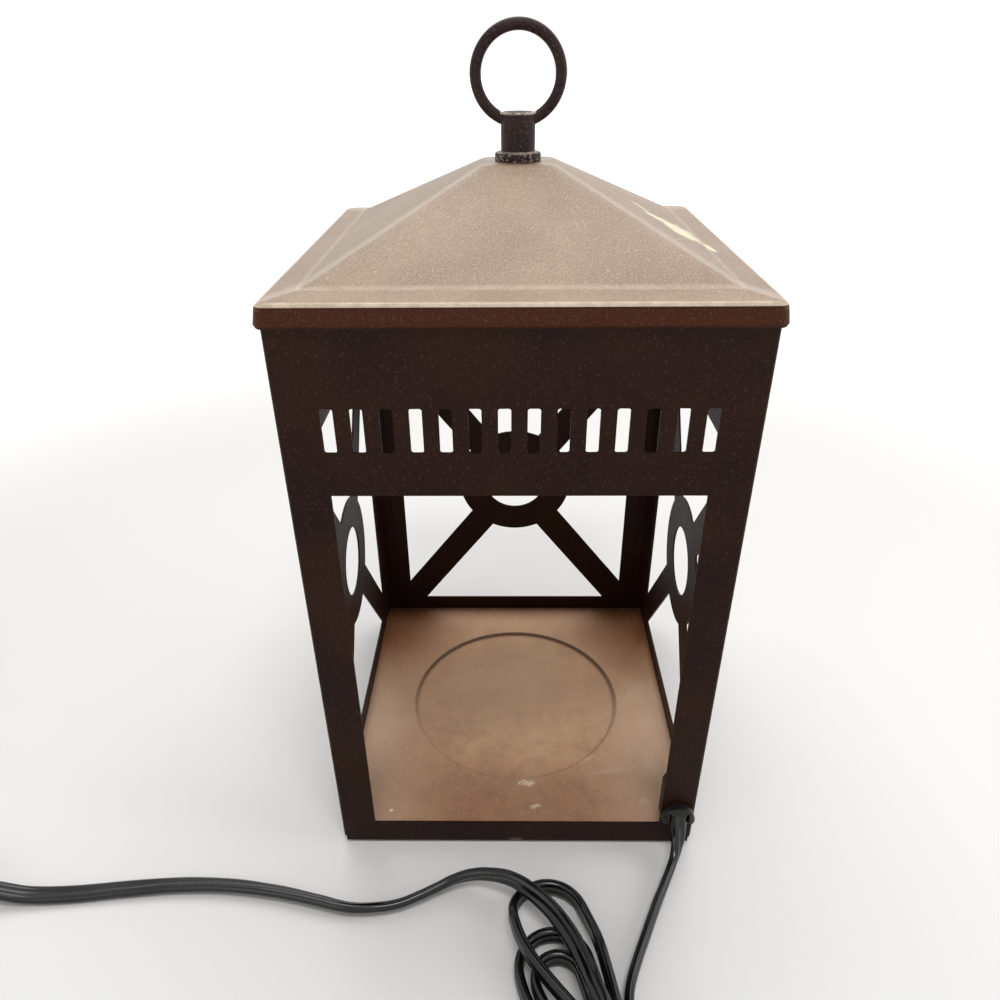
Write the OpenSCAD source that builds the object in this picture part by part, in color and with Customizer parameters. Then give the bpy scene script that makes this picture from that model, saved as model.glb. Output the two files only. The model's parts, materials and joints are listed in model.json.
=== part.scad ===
// Candle warmer lamp: a square sheet-metal lantern with an open face, three
// pierced faces, a pressed roof, a ring finial and a twist-lock lamp under the
// roof. The lead leaves the right post of the open face at its foot.
// Millimetres. The origin is the centre of the base on the table, the open face
// looks along -Y, and +Z is up.

/* [Body] */
// Width and depth of the square body, outside the panels
body_w = 149.6; // [140:0.2:170]
// Height of the eave's lower edge above the table
eave_z = 228.6; // [222:0.2:250]
// Thickness of the body's sheet metal
sheet = 0.8; // [0.6:0.1:1.2]
// Radius of the vertical bends of the side panels, outside
bend_r = 1.5; // [1.3:0.1:2]
// Width of the lips that carry the front and back panels
lip_w = 7; // [6:0.5:10]
// Clearance between sheet parts that slide into each other
fit = 0.15; // [0.1:0.05:0.2]

/* [Windows] */
// Width of the posts beside every window
post_w = 14.5; // [12.8:0.1:24]
// Height of the windows' upper edge
window_top = 173.5; // [160:0.5:178]
// Height of the open face's sill
sill_z = 13.1; // [12.6:0.1:20]
// Height of the pierced windows' sill
pierced_sill_z = 18.7; // [15:0.1:30]
// Width of the spokes across a pierced window
spoke_w = 14; // [8:0.5:18]
// Diameter of the ring in the middle of a pierced window
ring_od = 58.8; // [44:0.2:64]
// Diameter of the hole in that ring
ring_hole = 31.2; // [16:0.2:36]

/* [Vents] */
// Number of vent slots on each face
slots = 14; // [8:1:15]
// Distance from slot to slot
slot_pitch = 9; // [7:0.1:9.2]
// Width of a slot
slot_w = 4; // [2:0.1:5]
// Height of a slot
slot_h = 14.9; // [8:0.1:20]
// Height of the slots' lower edge above the windows
slot_rise = 15.3; // [8:0.1:20]
// Corner radius of a slot
slot_r = 0.8; // [0.3:0.1:0.9]

/* [Floor] */
// Height of the floor plate's upper face
floor_z = 11.3; // [9:0.1:12.2]
// Diameter of the candle seat pressed into the floor
seat_d = 101; // [70:1:124]
// Depth of the candle seat
seat_depth = 1.5; // [0.8:0.1:2]
// Height of the feet, below the panels
foot_h = 1.5; // [1:0.1:3]
// Diameter of a foot
foot_d = 10; // [7:0.5:11]

/* [Roof] */
// Height of the skirt round the eave
skirt_h = 7.3; // [5:0.1:10]
// Thickness of the roof's sheet metal
roof_sheet = 0.8; // [0.6:0.1:1.2]
// Gap between the body and the skirt
skirt_gap = 0.25; // [0.15:0.05:0.5]
// Corner radius of the skirt, outside
skirt_r = 3.4; // [2.6:0.1:5]
// Flare of the skirt, from its top to its lower edge
skirt_flare = 0.7; // [0.2:0.1:1.2]
// Width of the ledge between the eave and the pyramid
ledge_w = 10.7; // [8:0.1:16]
// Rise of that ledge
ledge_rise = 1.2; // [0.8:0.1:2.5]
// Height of the pyramid, above the ledge
pyramid_h = 26.2; // [25:0.1:40]
// Width of the flat on top of the pyramid
top_w = 25.2; // [20:0.1:30]
// Radius of the hips at the foot of the pyramid
hip_r = 5; // [3:0.5:8]

/* [Finial] */
// Diameter of the collar
collar_d = 15.8; // [13:0.1:19]
// Thickness of the collar
collar_h = 3.1; // [2:0.1:5]
// Diameter of the stem
stem_d = 11.6; // [10:0.1:12.5]
// Height of the stem above the collar
stem_h = 12.2; // [10:0.1:16]
// Outside diameter of the hanging ring
hang_od = 31.9; // [26:0.1:40]
// Thickness of the hanging ring
hang_wire = 3.7; // [3:0.1:4.5]
// Depth that the hanging ring sinks into the top of the stem
hang_sink = 4.9; // [3.8:0.1:5.2]
// Diameter of the threaded stud
stud_d = 6; // [5:0.1:7]

/* [Lamp] */
// Diameter of the lamp holder
holder_d = 28; // [26.5:0.5:32]
// Height of the lamp holder
holder_h = 15; // [13:0.5:17]
// Distance between the lamp's two pins
pin_pitch = 10; // [9.6:0.1:10.4]
// Diameter of a pin's head
pin_head_d = 5; // [4.6:0.1:5.2]
// Diameter of a pin's stem
pin_stem_d = 3; // [2.6:0.1:3.4]
// Angle that the lamp turns to lock
lock_angle = 20; // [15:1:25]
// Diameter of the lamp's reflector
lamp_d = 50; // [46:0.5:51]
// Height of the lamp from its face to the holder
lamp_h = 47.5; // [44:0.5:48]

/* [Cord] */
// Width of the flat twin cord
cord_w = 7.2; // [6.6:0.1:7.4]
// Thickness of the flat twin cord
cord_t = 3.6; // [3.2:0.1:3.8]

/* [Switch and plug] */
// Length of the cord switch
switch_l = 52; // [46:1:60]
// Width of the cord switch
switch_w = 19; // [17:0.5:22]
// Height of the cord switch
switch_h = 16; // [14:0.5:18]
// Diameter of the switch's thumbwheel
wheel_d = 21.5; // [20:0.1:23.5]
// Length of the plug's body
plug_l = 30; // [26:1:36]
// Width of the plug's body
plug_w = 25; // [23:0.5:28]
// Height of the plug's body
plug_h = 14; // [12:0.5:16]
// Distance between the plug's blades
blade_pitch = 12.7; // [12:0.1:13]
// Length of the plug's blades
blade_l = 17; // [15:0.5:18]

/* [Hidden] */

$fn = 48;
eps = 0.01;

// Finishes, as the lamp shows them
BRONZE = "#3b221a";
EAVE_BRONZE = "#5a3527";
COPPER = "#8f6a4e";
IRON = "#2e2320";
STEEL = "#b9b9b4";
CERAMIC = "#e9e4d8";
GLASS = "#d5dde0";
BRASS = "#c3a25a";
PVC = "#161616";

half_w = body_w / 2;
eave_top = eave_z + skirt_h;
under_eave = eave_top - roof_sheet - 0.3;       // clear of the roof's ledge
roof_edge_r = 2.2;                  // rounded top edge of the eave, outside
panel_top = eave_top - roof_edge_r - 0.2;
lip_out = half_w - sheet;           // outer face of the lips
lip_in = lip_out - sheet;           // inner face of the lips
wall_in = half_w - sheet;           // inner face of the side walls
flange_w = 13;                      // bottom flange of the side panels
window_w = body_w - 2 * post_w;
window_half = window_w / 2;
slot_z = window_top + slot_rise;
ring_mid_z = (pierced_sill_z + window_top) / 2;

skirt_out = half_w + skirt_gap + roof_sheet;
pyramid_z = eave_top + ledge_rise;
pyramid_half = skirt_out - ledge_w;
roof_z = pyramid_z + pyramid_h;     // the flat on top
slope = pyramid_h / (pyramid_half - top_w / 2);

// The strap under the roof, the holder below it and the lamp below that
strap_t = 1.5;
strap_w = 22;
strap_half = 20;
strap_z = roof_z - roof_sheet - 12.5;          // upper face of the strap
nut_h = 5;
holder_top = strap_z - strap_t;
holder_z = holder_top - holder_h;
lamp_gap = 0.3;
pocket_top = 8;                     // depth of the pin pockets in the holder
lamp_top = holder_z - lamp_gap;
lamp_face = lamp_top - lamp_h;
screw_pitch = 18;
screw_d = 3;
bore_fit = 0.3;

// The strain relief at the foot of the right post, and the lead above it
relief_z = 19;
relief_d = 8.6;
relief_x = (window_half + half_w) / 2 - 0.35;
hood_w = 13.4;
hood_out = 4.3;
hood_foot = 17.6;
exit_z = 23.6;                      // where the cord leaves the hood
exit_y = -half_w - 2.6;
guard_h = 22.6;
guard_x0 = window_half + 1.4;
guard_y1 = -half_w + 9.6;
guard_z1 = floor_z + 0.2 + guard_h;
lead_x = wall_in - cord_t / 2 - bore_fit;
lead_y = -lip_in + cord_w / 2 + bore_fit;
clip_t = 0.6;

// Route of the cord, on the table in front of the lamp, as [x, y, z]. The cord
// comes down flat from the hood and turns on its edge before the hank.
UP = [0, 0, 1];
LEAD_ROUTE = [
    [67.5, -79.6, 12.6], [66.2, -83.9, 8], [63.7, -89, 5.4], [59.6, -96.6, 4.2],
    [54.5, -106.1, 3.8], [49, -117.3, 3.8], [44.4, -126.7, 3.8],
    [40.9, -134.9, 3.8], [39.2, -141.7, 3.8], [39, -150, 4]
];
LEAD_WIDTH = [
    [-1, 0, 0], [-1, -0.15, 0], [-0.78, -0.62, 0.1], [-0.5, -0.8, 0.3],
    [-0.2, -0.6, 0.8], [0, -0.2, 1], UP
];
// The tail leaves the hank leaning back, and twists forward until it lies flat
TAIL_ROUTE = [
    [28.8, -157.6, 20.2], [28.6, -150.6, 19.9], [26.1, -143.6, 19.2],
    [23.4, -134.5, 16.5], [20.4, -125.9, 14.4], [16.3, -118.2, 13.4],
    [11.3, -111.9, 13.7], [3.9, -105.3, 14.1], [-2.6, -100.7, 13.4], [-11, -97, 10.6],
    [-18.4, -95.7, 8.4], [-25.7, -96.3, 6.2], [-32.8, -99, 4.7],
    [-39.9, -102, 3.8], [-46.8, -104.8, 3.4], [-54.2, -106.3, 3.4],
    [-66.4, -106.7, 3.3], [-81.5, -103.3, 3.1], [-97.3, -99.9, 2.9],
    [-117.7, -97.2, 2.6], [-138.8, -96.9, 2.2], [-159.9, -98.6, 2],
    [-180, -100.8, 2], [-198, -102, 3.4], [-210, -102, 6.6], [-218, -102, 8]
];
TAIL_LEAN = [
    0, 0, 8, 18, 28, 36, 40, 40, 34, 20, 4, -10, -18, -25, -30, -33, -35, -36,
    -38, -43, -50, -60, -70, -80, -88, -90, -90, -90, -90
];
END_ROUTE = [
    [-282, -102, 8], [-291, -102.6, 6.6], [-302, -106, 4.6], [-311, -114, 3.9],
    [-316, -125, 3.8], [-316, -137, 3.8], [-311, -148, 3.8],
    [-301, -156.6, 3.8], [-287, -160, 3.8], [-267, -160, 3.8],
    [-247, -160, 3.8], [-229, -160, 3.8], [-214, -162.6, 3.8],
    [-202.6, -170.6, 3.8], [-196.6, -182, 3.8], [-198, -194, 3.8],
    [-206, -203.6, 4.2], [-217, -208.4, 5.6], [-226, -209, 6.8], [-231, -209, 7]
];
END_LEAN = concat([-90, -90, -70, -45, -20], [for (i = [1 : 11]) 0],
                  [0, -20, -45, -70, -90, -90]);
switch_at = [-250, -102];
plug_at = [-236, -209];
plug_axis_z = 7;

// The hank: loops drawn in at a waist, each with its own reach and swell.
// Offsets are across the hank, reaches along it, from the waist.
hank_at = [31, -169.6];
hank_turn = 15.8;                   // degrees that the hank leans to the left
LAYER = [3.8, 11.7, 19.6];          // heights of the cord's middle, by layer
WAIST_UP = [-7, -2.4, 1.4, -3.3];       // rising runs, at the waist
WAIST_DOWN = [10.9, 6.6, 2.2, 7.8];     // falling runs, at the waist
TOP_EDGE = [[-19.5, 7.2], [-14.6, 2.6], [-16.6, 11.8]];
TOP_REACH = [55.6, 46.9, 74.4];
TOP_SPAN = [38, 38, 57];
LOW_SWELL = 10;
LOW_REACH = [80, 75, 66, 76];
LOW_SPAN = 48;
waist_lift = 0.7;                   // the tie passes under the waist
arc_steps = 6;
run_steps = 3;

function lerp(a, b, f) = a + (b - a) * f;
function clamp01(f) = min(1, max(0, f));
function ease(f) = let(g = clamp01(f)) g * g * (3 - 2 * g);

// Height of the rising run and of the falling run above the waist, turn by turn
function lift(along) = waist_lift * (1 - ease((abs(along) - 5) / 9));
function top_height(k, along, rising) = lift(along) + (
    k < 2 ? LAYER[0]
    : rising ? lerp(LAYER[0], LAYER[1], ease((TOP_REACH[2] + 8 - along) / 26))
    : lerp(LAYER[0], LAYER[1], ease((TOP_REACH[2] - 10 - along) / 26)));
// The same below the waist, and round the low end
function low_height(k, along, falling) = lift(along) + (
    k < 2 ? LAYER[0]
    : k == 2 ? (falling ? lerp(LAYER[0], LAYER[1], ease(-along / 40)) : LAYER[1])
    : falling ? LAYER[1]
    : lerp(LAYER[1], LAYER[2], ease((along + LOW_REACH[3] - 16) / 36)));

// One end of a loop: a run out, a round end and a run back, as [across, along, z]
function loop_end(from, to, edge0, edge1, span, reach, way, steps, arcs, z0, z1) =
    let(r = abs(edge1 - edge0) / 2, mid = (edge0 + edge1) / 2, foot = reach - r,
        turn = edge1 > edge0 ? 1 : -1)
    concat(
        [for (i = [0 : steps - 1]) let(y = foot * i / steps)
            [lerp(from, edge0, ease(y / span)), way * y, z0(way * y)]],
        [for (i = [0 : arcs]) let(a = 180 * i / arcs, y = foot + r * sin(a))
            [mid - turn * r * cos(a), way * y,
             lerp(z0(way * y), z1(way * y), ease(i / arcs))]],
        [for (i = [steps - 1 : -1 : 1]) let(y = foot * i / steps)
            [lerp(to, edge1, ease(y / span)), way * y, z1(way * y)]]);

function top_end(k, steps, arcs) =
    loop_end(WAIST_UP[k], WAIST_DOWN[k + 1], TOP_EDGE[k][0], TOP_EDGE[k][1],
             TOP_SPAN[k], TOP_REACH[k], 1, steps, arcs,
             function(y) top_height(k, y, true),
             function(y) top_height(k, y, false));
function low_end(k, steps, arcs) =
    loop_end(WAIST_DOWN[k], WAIST_UP[k], WAIST_DOWN[k] + LOW_SWELL,
             WAIST_UP[k] - LOW_SWELL, LOW_SPAN, LOW_REACH[k], -1, steps, arcs,
             function(y) low_height(k, y, true),
             function(y) low_height(k, y, false));

function hank_place(p) = [
    hank_at[0] + p[0] * cos(hank_turn) - p[1] * sin(hank_turn),
    hank_at[1] + p[0] * sin(hank_turn) + p[1] * cos(hank_turn), p[2]];
function hank_route(steps, arcs) = [
    for (p = concat(
        [[WAIST_DOWN[0] + 0.2, 4, LAYER[0] + waist_lift]],
        low_end(0, steps, arcs), top_end(0, steps, arcs),
        low_end(1, steps, arcs), top_end(1, steps, arcs),
        low_end(2, steps, arcs), top_end(2, steps, arcs),
        low_end(3, steps, arcs), [[WAIST_UP[3], 0, LAYER[2] + waist_lift]]))
    hank_place(p)];

// Gap between two places on the cord, whose width stands upright
function cord_gap(p, q) =
    norm([norm([p[0] - q[0], p[1] - q[1]]),
          max(0, abs(p[2] - q[2]) - (cord_w - cord_t))]) - cord_t;
// Points along a route, a few between each pair
function refined(route, parts) = [
    for (i = [0 : len(route) - 2]) for (j = [0 : parts - 1])
        lerp(route[i], route[i + 1], j / parts)];
function least_gap(points, skip) = min([
    for (i = [0 : len(points) - 1]) for (j = [i + skip : 1 : len(points) - 1])
        cord_gap(points[i], points[j])]);
function length_of(route) = len(route) < 2 ? 0
    : [for (i = [0 : len(route) - 2]) norm(route[i + 1] - route[i])]
      * [for (i = [0 : len(route) - 2]) 1];

// Outlines of the cord: its width is the second number
function stadium(side, tall) = [
    [side, -tall * 0.5], [side, tall * 0.5], [side * 0.5, tall], [-side * 0.5, tall],
    [-side, tall * 0.5], [-side, -tall * 0.5], [-side * 0.5, -tall],
    [side * 0.5, -tall]];
function hexagon(side, tall) = [
    [side, -tall * 0.55], [side, tall * 0.55], [0, tall],
    [-side, tall * 0.55], [-side, -tall * 0.55], [0, -tall]];
function circle_points(r, sides) = [
    for (i = [0 : sides - 1]) r * [cos(360 * i / sides), sin(360 * i / sides)]];

function unit(v) = v / norm(v);
function heading(route, i) =
    unit(route[min(i + 1, len(route) - 1)] - route[max(i - 1, 0)]);
// Ways that the width points where it leans back by so many degrees
function leaning(route, degrees) = [
    for (i = [0 : len(route) - 1]) let(t = heading(route, i))
        UP * cos(degrees[i]) + cross(t, UP) * sin(degrees[i])];
function ring_at(route, widths, outline, i) =
    let(t = heading(route, i), w0 = widths[min(i, len(widths) - 1)],
        w = unit(w0 - (w0 * t) * t), s = cross(t, w))
    [for (q = outline) route[i] + s * q[0] + w * q[1]];

// One tube swept along a route
module tube(route, widths, outline) {
    n = len(outline);
    m = len(route);
    rings = [for (i = [0 : m - 1]) each ring_at(route, widths, outline, i)];
    sides = [for (i = [0 : m - 2]) for (j = [0 : n - 1])
        let(a = i * n + j, b = i * n + (j + 1) % n)
        each [[a, b, b + n], [a, b + n, a + n]]];
    first = [for (j = [1 : n - 2]) [0, j + 1, j]];
    last = [for (j = [1 : n - 2]) (m - 1) * n * [1, 1, 1] + [0, j, j + 1]];
    polyhedron(points = rings, faces = concat(sides, first, last), convexity = 10);
}

// Small helpers ------------------------------------------------------------

module rounded_square(w, d, r) {
    square([w - 2 * r, d], center = true);
    square([w, d - 2 * r], center = true);
    for (x = [-1, 1], y = [-1, 1])
        translate([x * (w / 2 - r), y * (d / 2 - r)]) circle(r, $fn = 32);
}

// A flat shape drawn in X and Z stood up as a wall, from y = 0 to y = t
module upright(t) {
    rotate([90, 0, 0]) translate([0, 0, -t]) linear_extrude(t) children();
}

// Body ---------------------------------------------------------------------

module slot_row() {
    for (i = [0 : slots - 1])
        translate([(i - (slots - 1) / 2) * slot_pitch, slot_z + slot_h / 2])
            rounded_square(slot_w, slot_h, slot_r);
}

// The gaps of a pierced window: the opening less its spokes and ring
module pierced_gaps() {
    tall = window_top - pierced_sill_z;
    lean = atan2(tall, window_w);
    translate([0, ring_mid_z]) {
        difference() {
            square([window_w, tall], center = true);
            for (a = [lean, -lean]) rotate(a) square([2 * tall, spoke_w], center = true);
            circle(d = ring_od, $fn = 96);
        }
        circle(d = ring_hole, $fn = 96);
    }
}

module open_gap() {
    translate([-window_half, sill_z]) square([window_w, window_top - sill_z]);
}

// A flat panel that lies on the lips of the side panels
module flat_panel() {
    upright(sheet) difference() {
        translate([-(half_w - bend_r), foot_h])
            square([2 * (half_w - bend_r), panel_top - foot_h]);
        slot_row();
        children();
    }
}

module relief_bore() {
    translate([relief_x, -half_w - 1, relief_z]) rotate([-90, 0, 0])
        cylinder(d = relief_d + 2 * bore_fit, h = 2 + 2 * sheet);
}

module front_panel() {
    color(BRONZE) difference() {
        translate([0, -half_w, 0]) flat_panel() open_gap();
        relief_bore();
    }
}

module back_panel() {
    color(BRONZE) translate([0, half_w - sheet, 0]) flat_panel() pierced_gaps();
}

// A side panel in plan: the wall with a lip turned in at each end
module side_plan() {
    deep = 2 * lip_out;
    difference() {
        translate([half_w - deep / 2, 0]) rounded_square(deep, deep, bend_r);
        translate([half_w - deep / 2, 0])
            rounded_square(deep - 2 * sheet, deep - 2 * sheet, bend_r - sheet);
        translate([half_w - lip_w - 2 * deep, -deep]) square([2 * deep, 2 * deep]);
    }
}

// The flange turned in along the foot of a side panel, which the feet stick to
module bottom_flange() {
    long = 2 * (lip_in - bend_r - 1);
    translate([0, long / 2, 0]) rotate([90, 0, 0]) linear_extrude(long) {
        translate([half_w - flange_w, foot_h]) square([flange_w - bend_r, sheet]);
        difference() {
            translate([half_w - bend_r, foot_h + bend_r]) circle(bend_r, $fn = 32);
            translate([half_w - bend_r, foot_h + bend_r])
                circle(bend_r - sheet, $fn = 32);
            translate([half_w - 2 * bend_r - 1, foot_h + bend_r])
                square([2 * bend_r + 2, 2 * bend_r]);
            translate([half_w - 3 * bend_r, foot_h - 1])
                square([2 * bend_r, 2 * bend_r + 1]);
        }
    }
}

module side_panel() {
    color(BRONZE) {
        difference() {
            translate([0, 0, foot_h + bend_r])
                linear_extrude(panel_top - foot_h - bend_r) side_plan();
            translate([half_w + 1, 0, 0]) rotate([0, 0, 90]) upright(sheet + 2) {
                slot_row();
                pierced_gaps();
            }
        }
        bottom_flange();
    }
}

module left_panel() mirror([1, 0, 0]) side_panel();

module right_panel() {
    difference() {
        side_panel();
        relief_bore();
    }
}

// The floor tray: a plate with turned-down edges and a round seat pressed in
module floor_plate() {
    wide = 2 * (wall_in - fit);
    deep = 2 * (lip_in - fit);
    edge_z = foot_h + sheet + 0.3;
    seat_r = seat_d / 2;
    seat_z = floor_z - seat_depth;
    color(COPPER) {
        difference() {
            translate([0, 0, edge_z]) linear_extrude(floor_z - edge_z)
                rounded_square(wide, deep, bend_r);
            translate([0, 0, edge_z - eps])
                linear_extrude(floor_z - sheet - edge_z + eps)
                    rounded_square(wide - 2 * sheet, deep - 2 * sheet, bend_r - sheet);
            translate([0, 0, floor_z - sheet - 1]) cylinder(r = seat_r + 1, h = sheet + 2);
        }
        rotate_extrude($fn = 128) polygon([
            [0, seat_z], [seat_r - 1.9, seat_z], [seat_r - 1.5, seat_z + 0.1],
            [seat_r - 0.4, floor_z - 0.25], [seat_r + 0.2, floor_z],
            [seat_r + 1.5, floor_z], [seat_r + 1.5, floor_z - sheet],
            [seat_r + 0.6, floor_z - sheet], [seat_r + 0.2, floor_z - sheet - 0.25],
            [seat_r - 0.9, seat_z - sheet], [0, seat_z - sheet]]);
    }
}

module foot(x, y) {
    inset = half_w - foot_d / 2 - 1.6;
    color(PVC) translate([x * inset, y * (inset - 1.6), 0]) rotate_extrude()
        polygon([[0, 0], [foot_d / 2 - 0.5, 0], [foot_d / 2, 0.5],
                 [foot_d / 2, foot_h], [0, foot_h]]);
}

// Roof ---------------------------------------------------------------------

// The eave's block, from the skirt's flared foot to the foot of the pyramid
module eave_form(out, foot, top, ledge_z, inner, e, corner_r, edge) {
    wide = out + skirt_flare;
    hull() {
        translate([0, 0, foot]) linear_extrude(eps)
            rounded_square(2 * (wide - edge), 2 * (wide - edge), corner_r);
        translate([0, 0, foot + 1]) linear_extrude(eps)
            rounded_square(2 * wide, 2 * wide, corner_r + edge);
        for (a = [0, 30, 60, 90])
            translate([0, 0, top - e + e * sin(a) - eps]) linear_extrude(eps)
                rounded_square(2 * (out - e + e * cos(a)), 2 * (out - e + e * cos(a)),
                               corner_r);
        translate([0, 0, ledge_z - eps]) linear_extrude(eps)
            rounded_square(2 * inner, 2 * inner, hip_r);
    }
}

module pyramid_form(half, top_half, foot, top) {
    hull() {
        translate([0, 0, foot]) linear_extrude(eps)
            rounded_square(2 * half, 2 * half, hip_r);
        translate([0, 0, top - eps]) linear_extrude(eps)
            rounded_square(2 * top_half, 2 * top_half, hip_r * 0.6);
    }
}

module roof() {
    t = roof_sheet;
    // how far the inside of the sloping faces draws in, seen level
    inward = t * (sqrt(1 + slope * slope) - 1) / slope;
    color(EAVE_BRONZE) difference() {
        union() {
            eave_form(skirt_out, eave_z, eave_top, pyramid_z, pyramid_half,
                      roof_edge_r, skirt_r, 0.5);
            pyramid_form(pyramid_half, top_w / 2, pyramid_z - 2 * eps, roof_z);
        }
        eave_form(skirt_out - t, eave_z - 1, eave_top - t, pyramid_z - t,
                  pyramid_half - inward, roof_edge_r - t, skirt_r - t, 0);
        pyramid_form(pyramid_half - inward, top_w / 2 - inward,
                     pyramid_z - t - 2 * eps, roof_z - t);
        translate([0, 0, roof_z - 5]) cylinder(d = stud_d + 2 * bore_fit, h = 10);
    }
}

// Finial -------------------------------------------------------------------

module finial_collar() {
    color(IRON) translate([0, 0, roof_z]) rotate_extrude($fn = 64)
        polygon([[stud_d / 2 + bore_fit, 0], [collar_d / 2 - 0.3, 0],
                 [collar_d / 2, 0.3], [collar_d / 2, collar_h - 0.5],
                 [collar_d / 2 - 0.5, collar_h], [stud_d / 2 + bore_fit, collar_h]]);
}

// Stem and hanging ring, one casting with a blind hole for the stud
module finial_ring() {
    stem_z = roof_z + collar_h;
    ring_r = (hang_od - hang_wire) / 2;
    color(IRON) difference() {
        union() {
            translate([0, 0, stem_z]) rotate_extrude($fn = 64)
                polygon([[0, 0], [stem_d / 2, 0], [stem_d / 2, stem_h - 0.6],
                         [stem_d / 2 - 0.6, stem_h], [0, stem_h]]);
            translate([0, 0, stem_z + stem_h - hang_sink + hang_od / 2])
                rotate([90, 0, 0]) rotate_extrude($fn = 96)
                    translate([ring_r, 0]) circle(d = hang_wire, $fn = 32);
        }
        translate([0, 0, stem_z - 1]) cylinder(d = stud_d + 2 * bore_fit, h = 8);
    }
}

module finial_stud() {
    color(STEEL) translate([0, 0, strap_z - strap_t])
        cylinder(d = stud_d, h = roof_z + collar_h + 6.7 - strap_z + strap_t);
}

module stud_nut() {
    color(STEEL) translate([0, 0, strap_z]) difference() {
        cylinder(d = stud_d * 1.9, h = nut_h, $fn = 6);
        translate([0, 0, -1]) cylinder(d = stud_d + 0.2, h = nut_h + 2);
    }
}

// Lamp ---------------------------------------------------------------------

// The strap that spans the body under the roof: flat in the middle, legs that
// slope down under the roof, and tabs welded to the side walls
module lamp_bracket() {
    t = strap_t;
    leg_z = under_eave - 3;
    tab_z = leg_z - 17;
    side = wall_in - fit;
    half = [[strap_half, strap_z], [side - 5, leg_z], [side, leg_z], [side, tab_z],
            [side - t, tab_z], [side - t, leg_z - t], [side - 5.4, leg_z - t],
            [strap_half - 0.4, strap_z - t]];
    color(STEEL) difference() {
        translate([0, strap_w / 2, 0]) rotate([90, 0, 0]) linear_extrude(strap_w)
            polygon(concat(half, [for (i = [len(half) - 1 : -1 : 0])
                                      [-half[i][0], half[i][1]]]));
        translate([0, 0, strap_z - 5]) cylinder(d = stud_d + 2 * bore_fit, h = 10);
        for (y = [-1, 1]) translate([0, y * screw_pitch / 2, strap_z - 5])
            cylinder(d = screw_d + 2 * bore_fit, h = 10);
    }
}

// One pin's slot in plan, from its way in to its locked place
module pin_slot(w) {
    r = pin_pitch / 2;
    half = lock_angle / 2;
    rotate(lock_angle) translate([r, 0]) circle(d = w);
    rotate(half) translate([r * cos(half), 0])
        square([0.96 * w, 2 * r * sin(half)], center = true);
}

// The ceramic holder, with a keyhole slot for each pin and two screw holes
module lamp_holder() {
    head_w = pin_head_d + 2 * bore_fit;
    neck_w = pin_stem_d + 2 * bore_fit;
    lip = 2.6;
    color(CERAMIC) translate([0, 0, holder_z]) difference() {
        rotate_extrude($fn = 64) polygon([
            [0, 0], [holder_d / 2 - 1, 0], [holder_d / 2, 1],
            [holder_d / 2, holder_h * 0.6], [holder_d / 2 - 2, holder_h * 0.6 + 1.5],
            [holder_d / 2 - 2, holder_h], [0, holder_h]]);
        for (a = [0, 180]) rotate(a) {
            translate([pin_pitch / 2, 0, -1]) cylinder(d = head_w, h = 1 + pocket_top);
            translate([0, 0, -1]) linear_extrude(1.4 + lip) pin_slot(neck_w);
            translate([0, 0, lip]) linear_extrude(pocket_top - 0.5 - lip) pin_slot(head_w);
        }
        for (y = [-1, 1]) translate([0, y * screw_pitch / 2, -1]) {
            cylinder(d = screw_d + 2 * bore_fit, h = holder_h + 2);
            cylinder(d = screw_d * 2 + 2 * bore_fit, h = 6);
        }
    }
}

module holder_screws() {
    color(STEEL) for (y = [-1, 1])
        translate([0, y * screw_pitch / 2, holder_z + 5]) {
            cylinder(d = screw_d, h = holder_top - holder_z - 5 + strap_t + 1.5);
            translate([0, 0, -2]) difference() {
                cylinder(d = screw_d * 2, h = 2);
                translate([-3, -0.4, -1]) cube([6, 0.8, 1.8]);
            }
        }
}

// The moulded reflector, from its rim to the neck that the cap grips
neck_r = 11;
neck_z = 25;
cap_floor = neck_z + 4.3;           // the cap closes the neck here
function bowl(f) = [lerp(neck_r, lamp_d / 2 - 1.2, sqrt(f)), neck_z * (1 - f) + 3 * f];

module lamp_reflector() {
    steps = 12;
    t = 1.2;
    color(GLASS) translate([0, 0, lamp_face]) rotate_extrude($fn = 72)
        polygon(concat(
            [[lamp_d / 2, 0], [lamp_d / 2, 3]],
            [for (i = [steps : -1 : 0]) bowl(i / steps) + [t, 0.4]],
            [[neck_r + t, neck_z + 4], [neck_r, neck_z + 4]],
            [for (i = [0 : steps]) bowl(i / steps)],
            [[lamp_d / 2 - 1.2, 0]]));
}

module lamp_lens() {
    color(GLASS) translate([0, 0, lamp_face + 0.6]) rotate_extrude($fn = 72)
        polygon([[0, 0], [lamp_d / 2 - 2, 0], [lamp_d / 2 - 1.5, 0.5],
                 [lamp_d / 2 - 1.5, 1.6], [0, 1.6]]);
}

module lamp_capsule() {
    r = 4.5;
    color(GLASS) translate([0, 0, lamp_face + 8]) rotate_extrude($fn = 32) {
        translate([0, r]) intersection() {
            circle(r, $fn = 32);
            translate([0, -r]) square([r, 2 * r]);
        }
        translate([0, r]) square([r, cap_floor - 8 - r]);
    }
}

module lamp_cap() {
    skirt = 2.8;
    color(CERAMIC) translate([0, 0, lamp_face]) rotate_extrude($fn = 64) polygon([
        [0, cap_floor], [neck_r + 1.5, cap_floor], [neck_r + 1.5, cap_floor - skirt],
        [neck_r + 2.6, cap_floor - skirt], [neck_r + 2.6, cap_floor + 3],
        [neck_r - 1.2, lamp_h - 4], [neck_r - 1.2, lamp_h], [0, lamp_h]]);
}

module lamp_pins() {
    color(BRASS) for (a = [0, 180]) rotate(a + lock_angle)
        translate([pin_pitch / 2, 0, lamp_top]) {
            cylinder(d = pin_stem_d, h = lamp_gap + 4);
            translate([0, 0, lamp_gap + 2.9]) cylinder(d = pin_head_d, h = 3.6);
        }
}

// Wiring inside ------------------------------------------------------------

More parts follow.
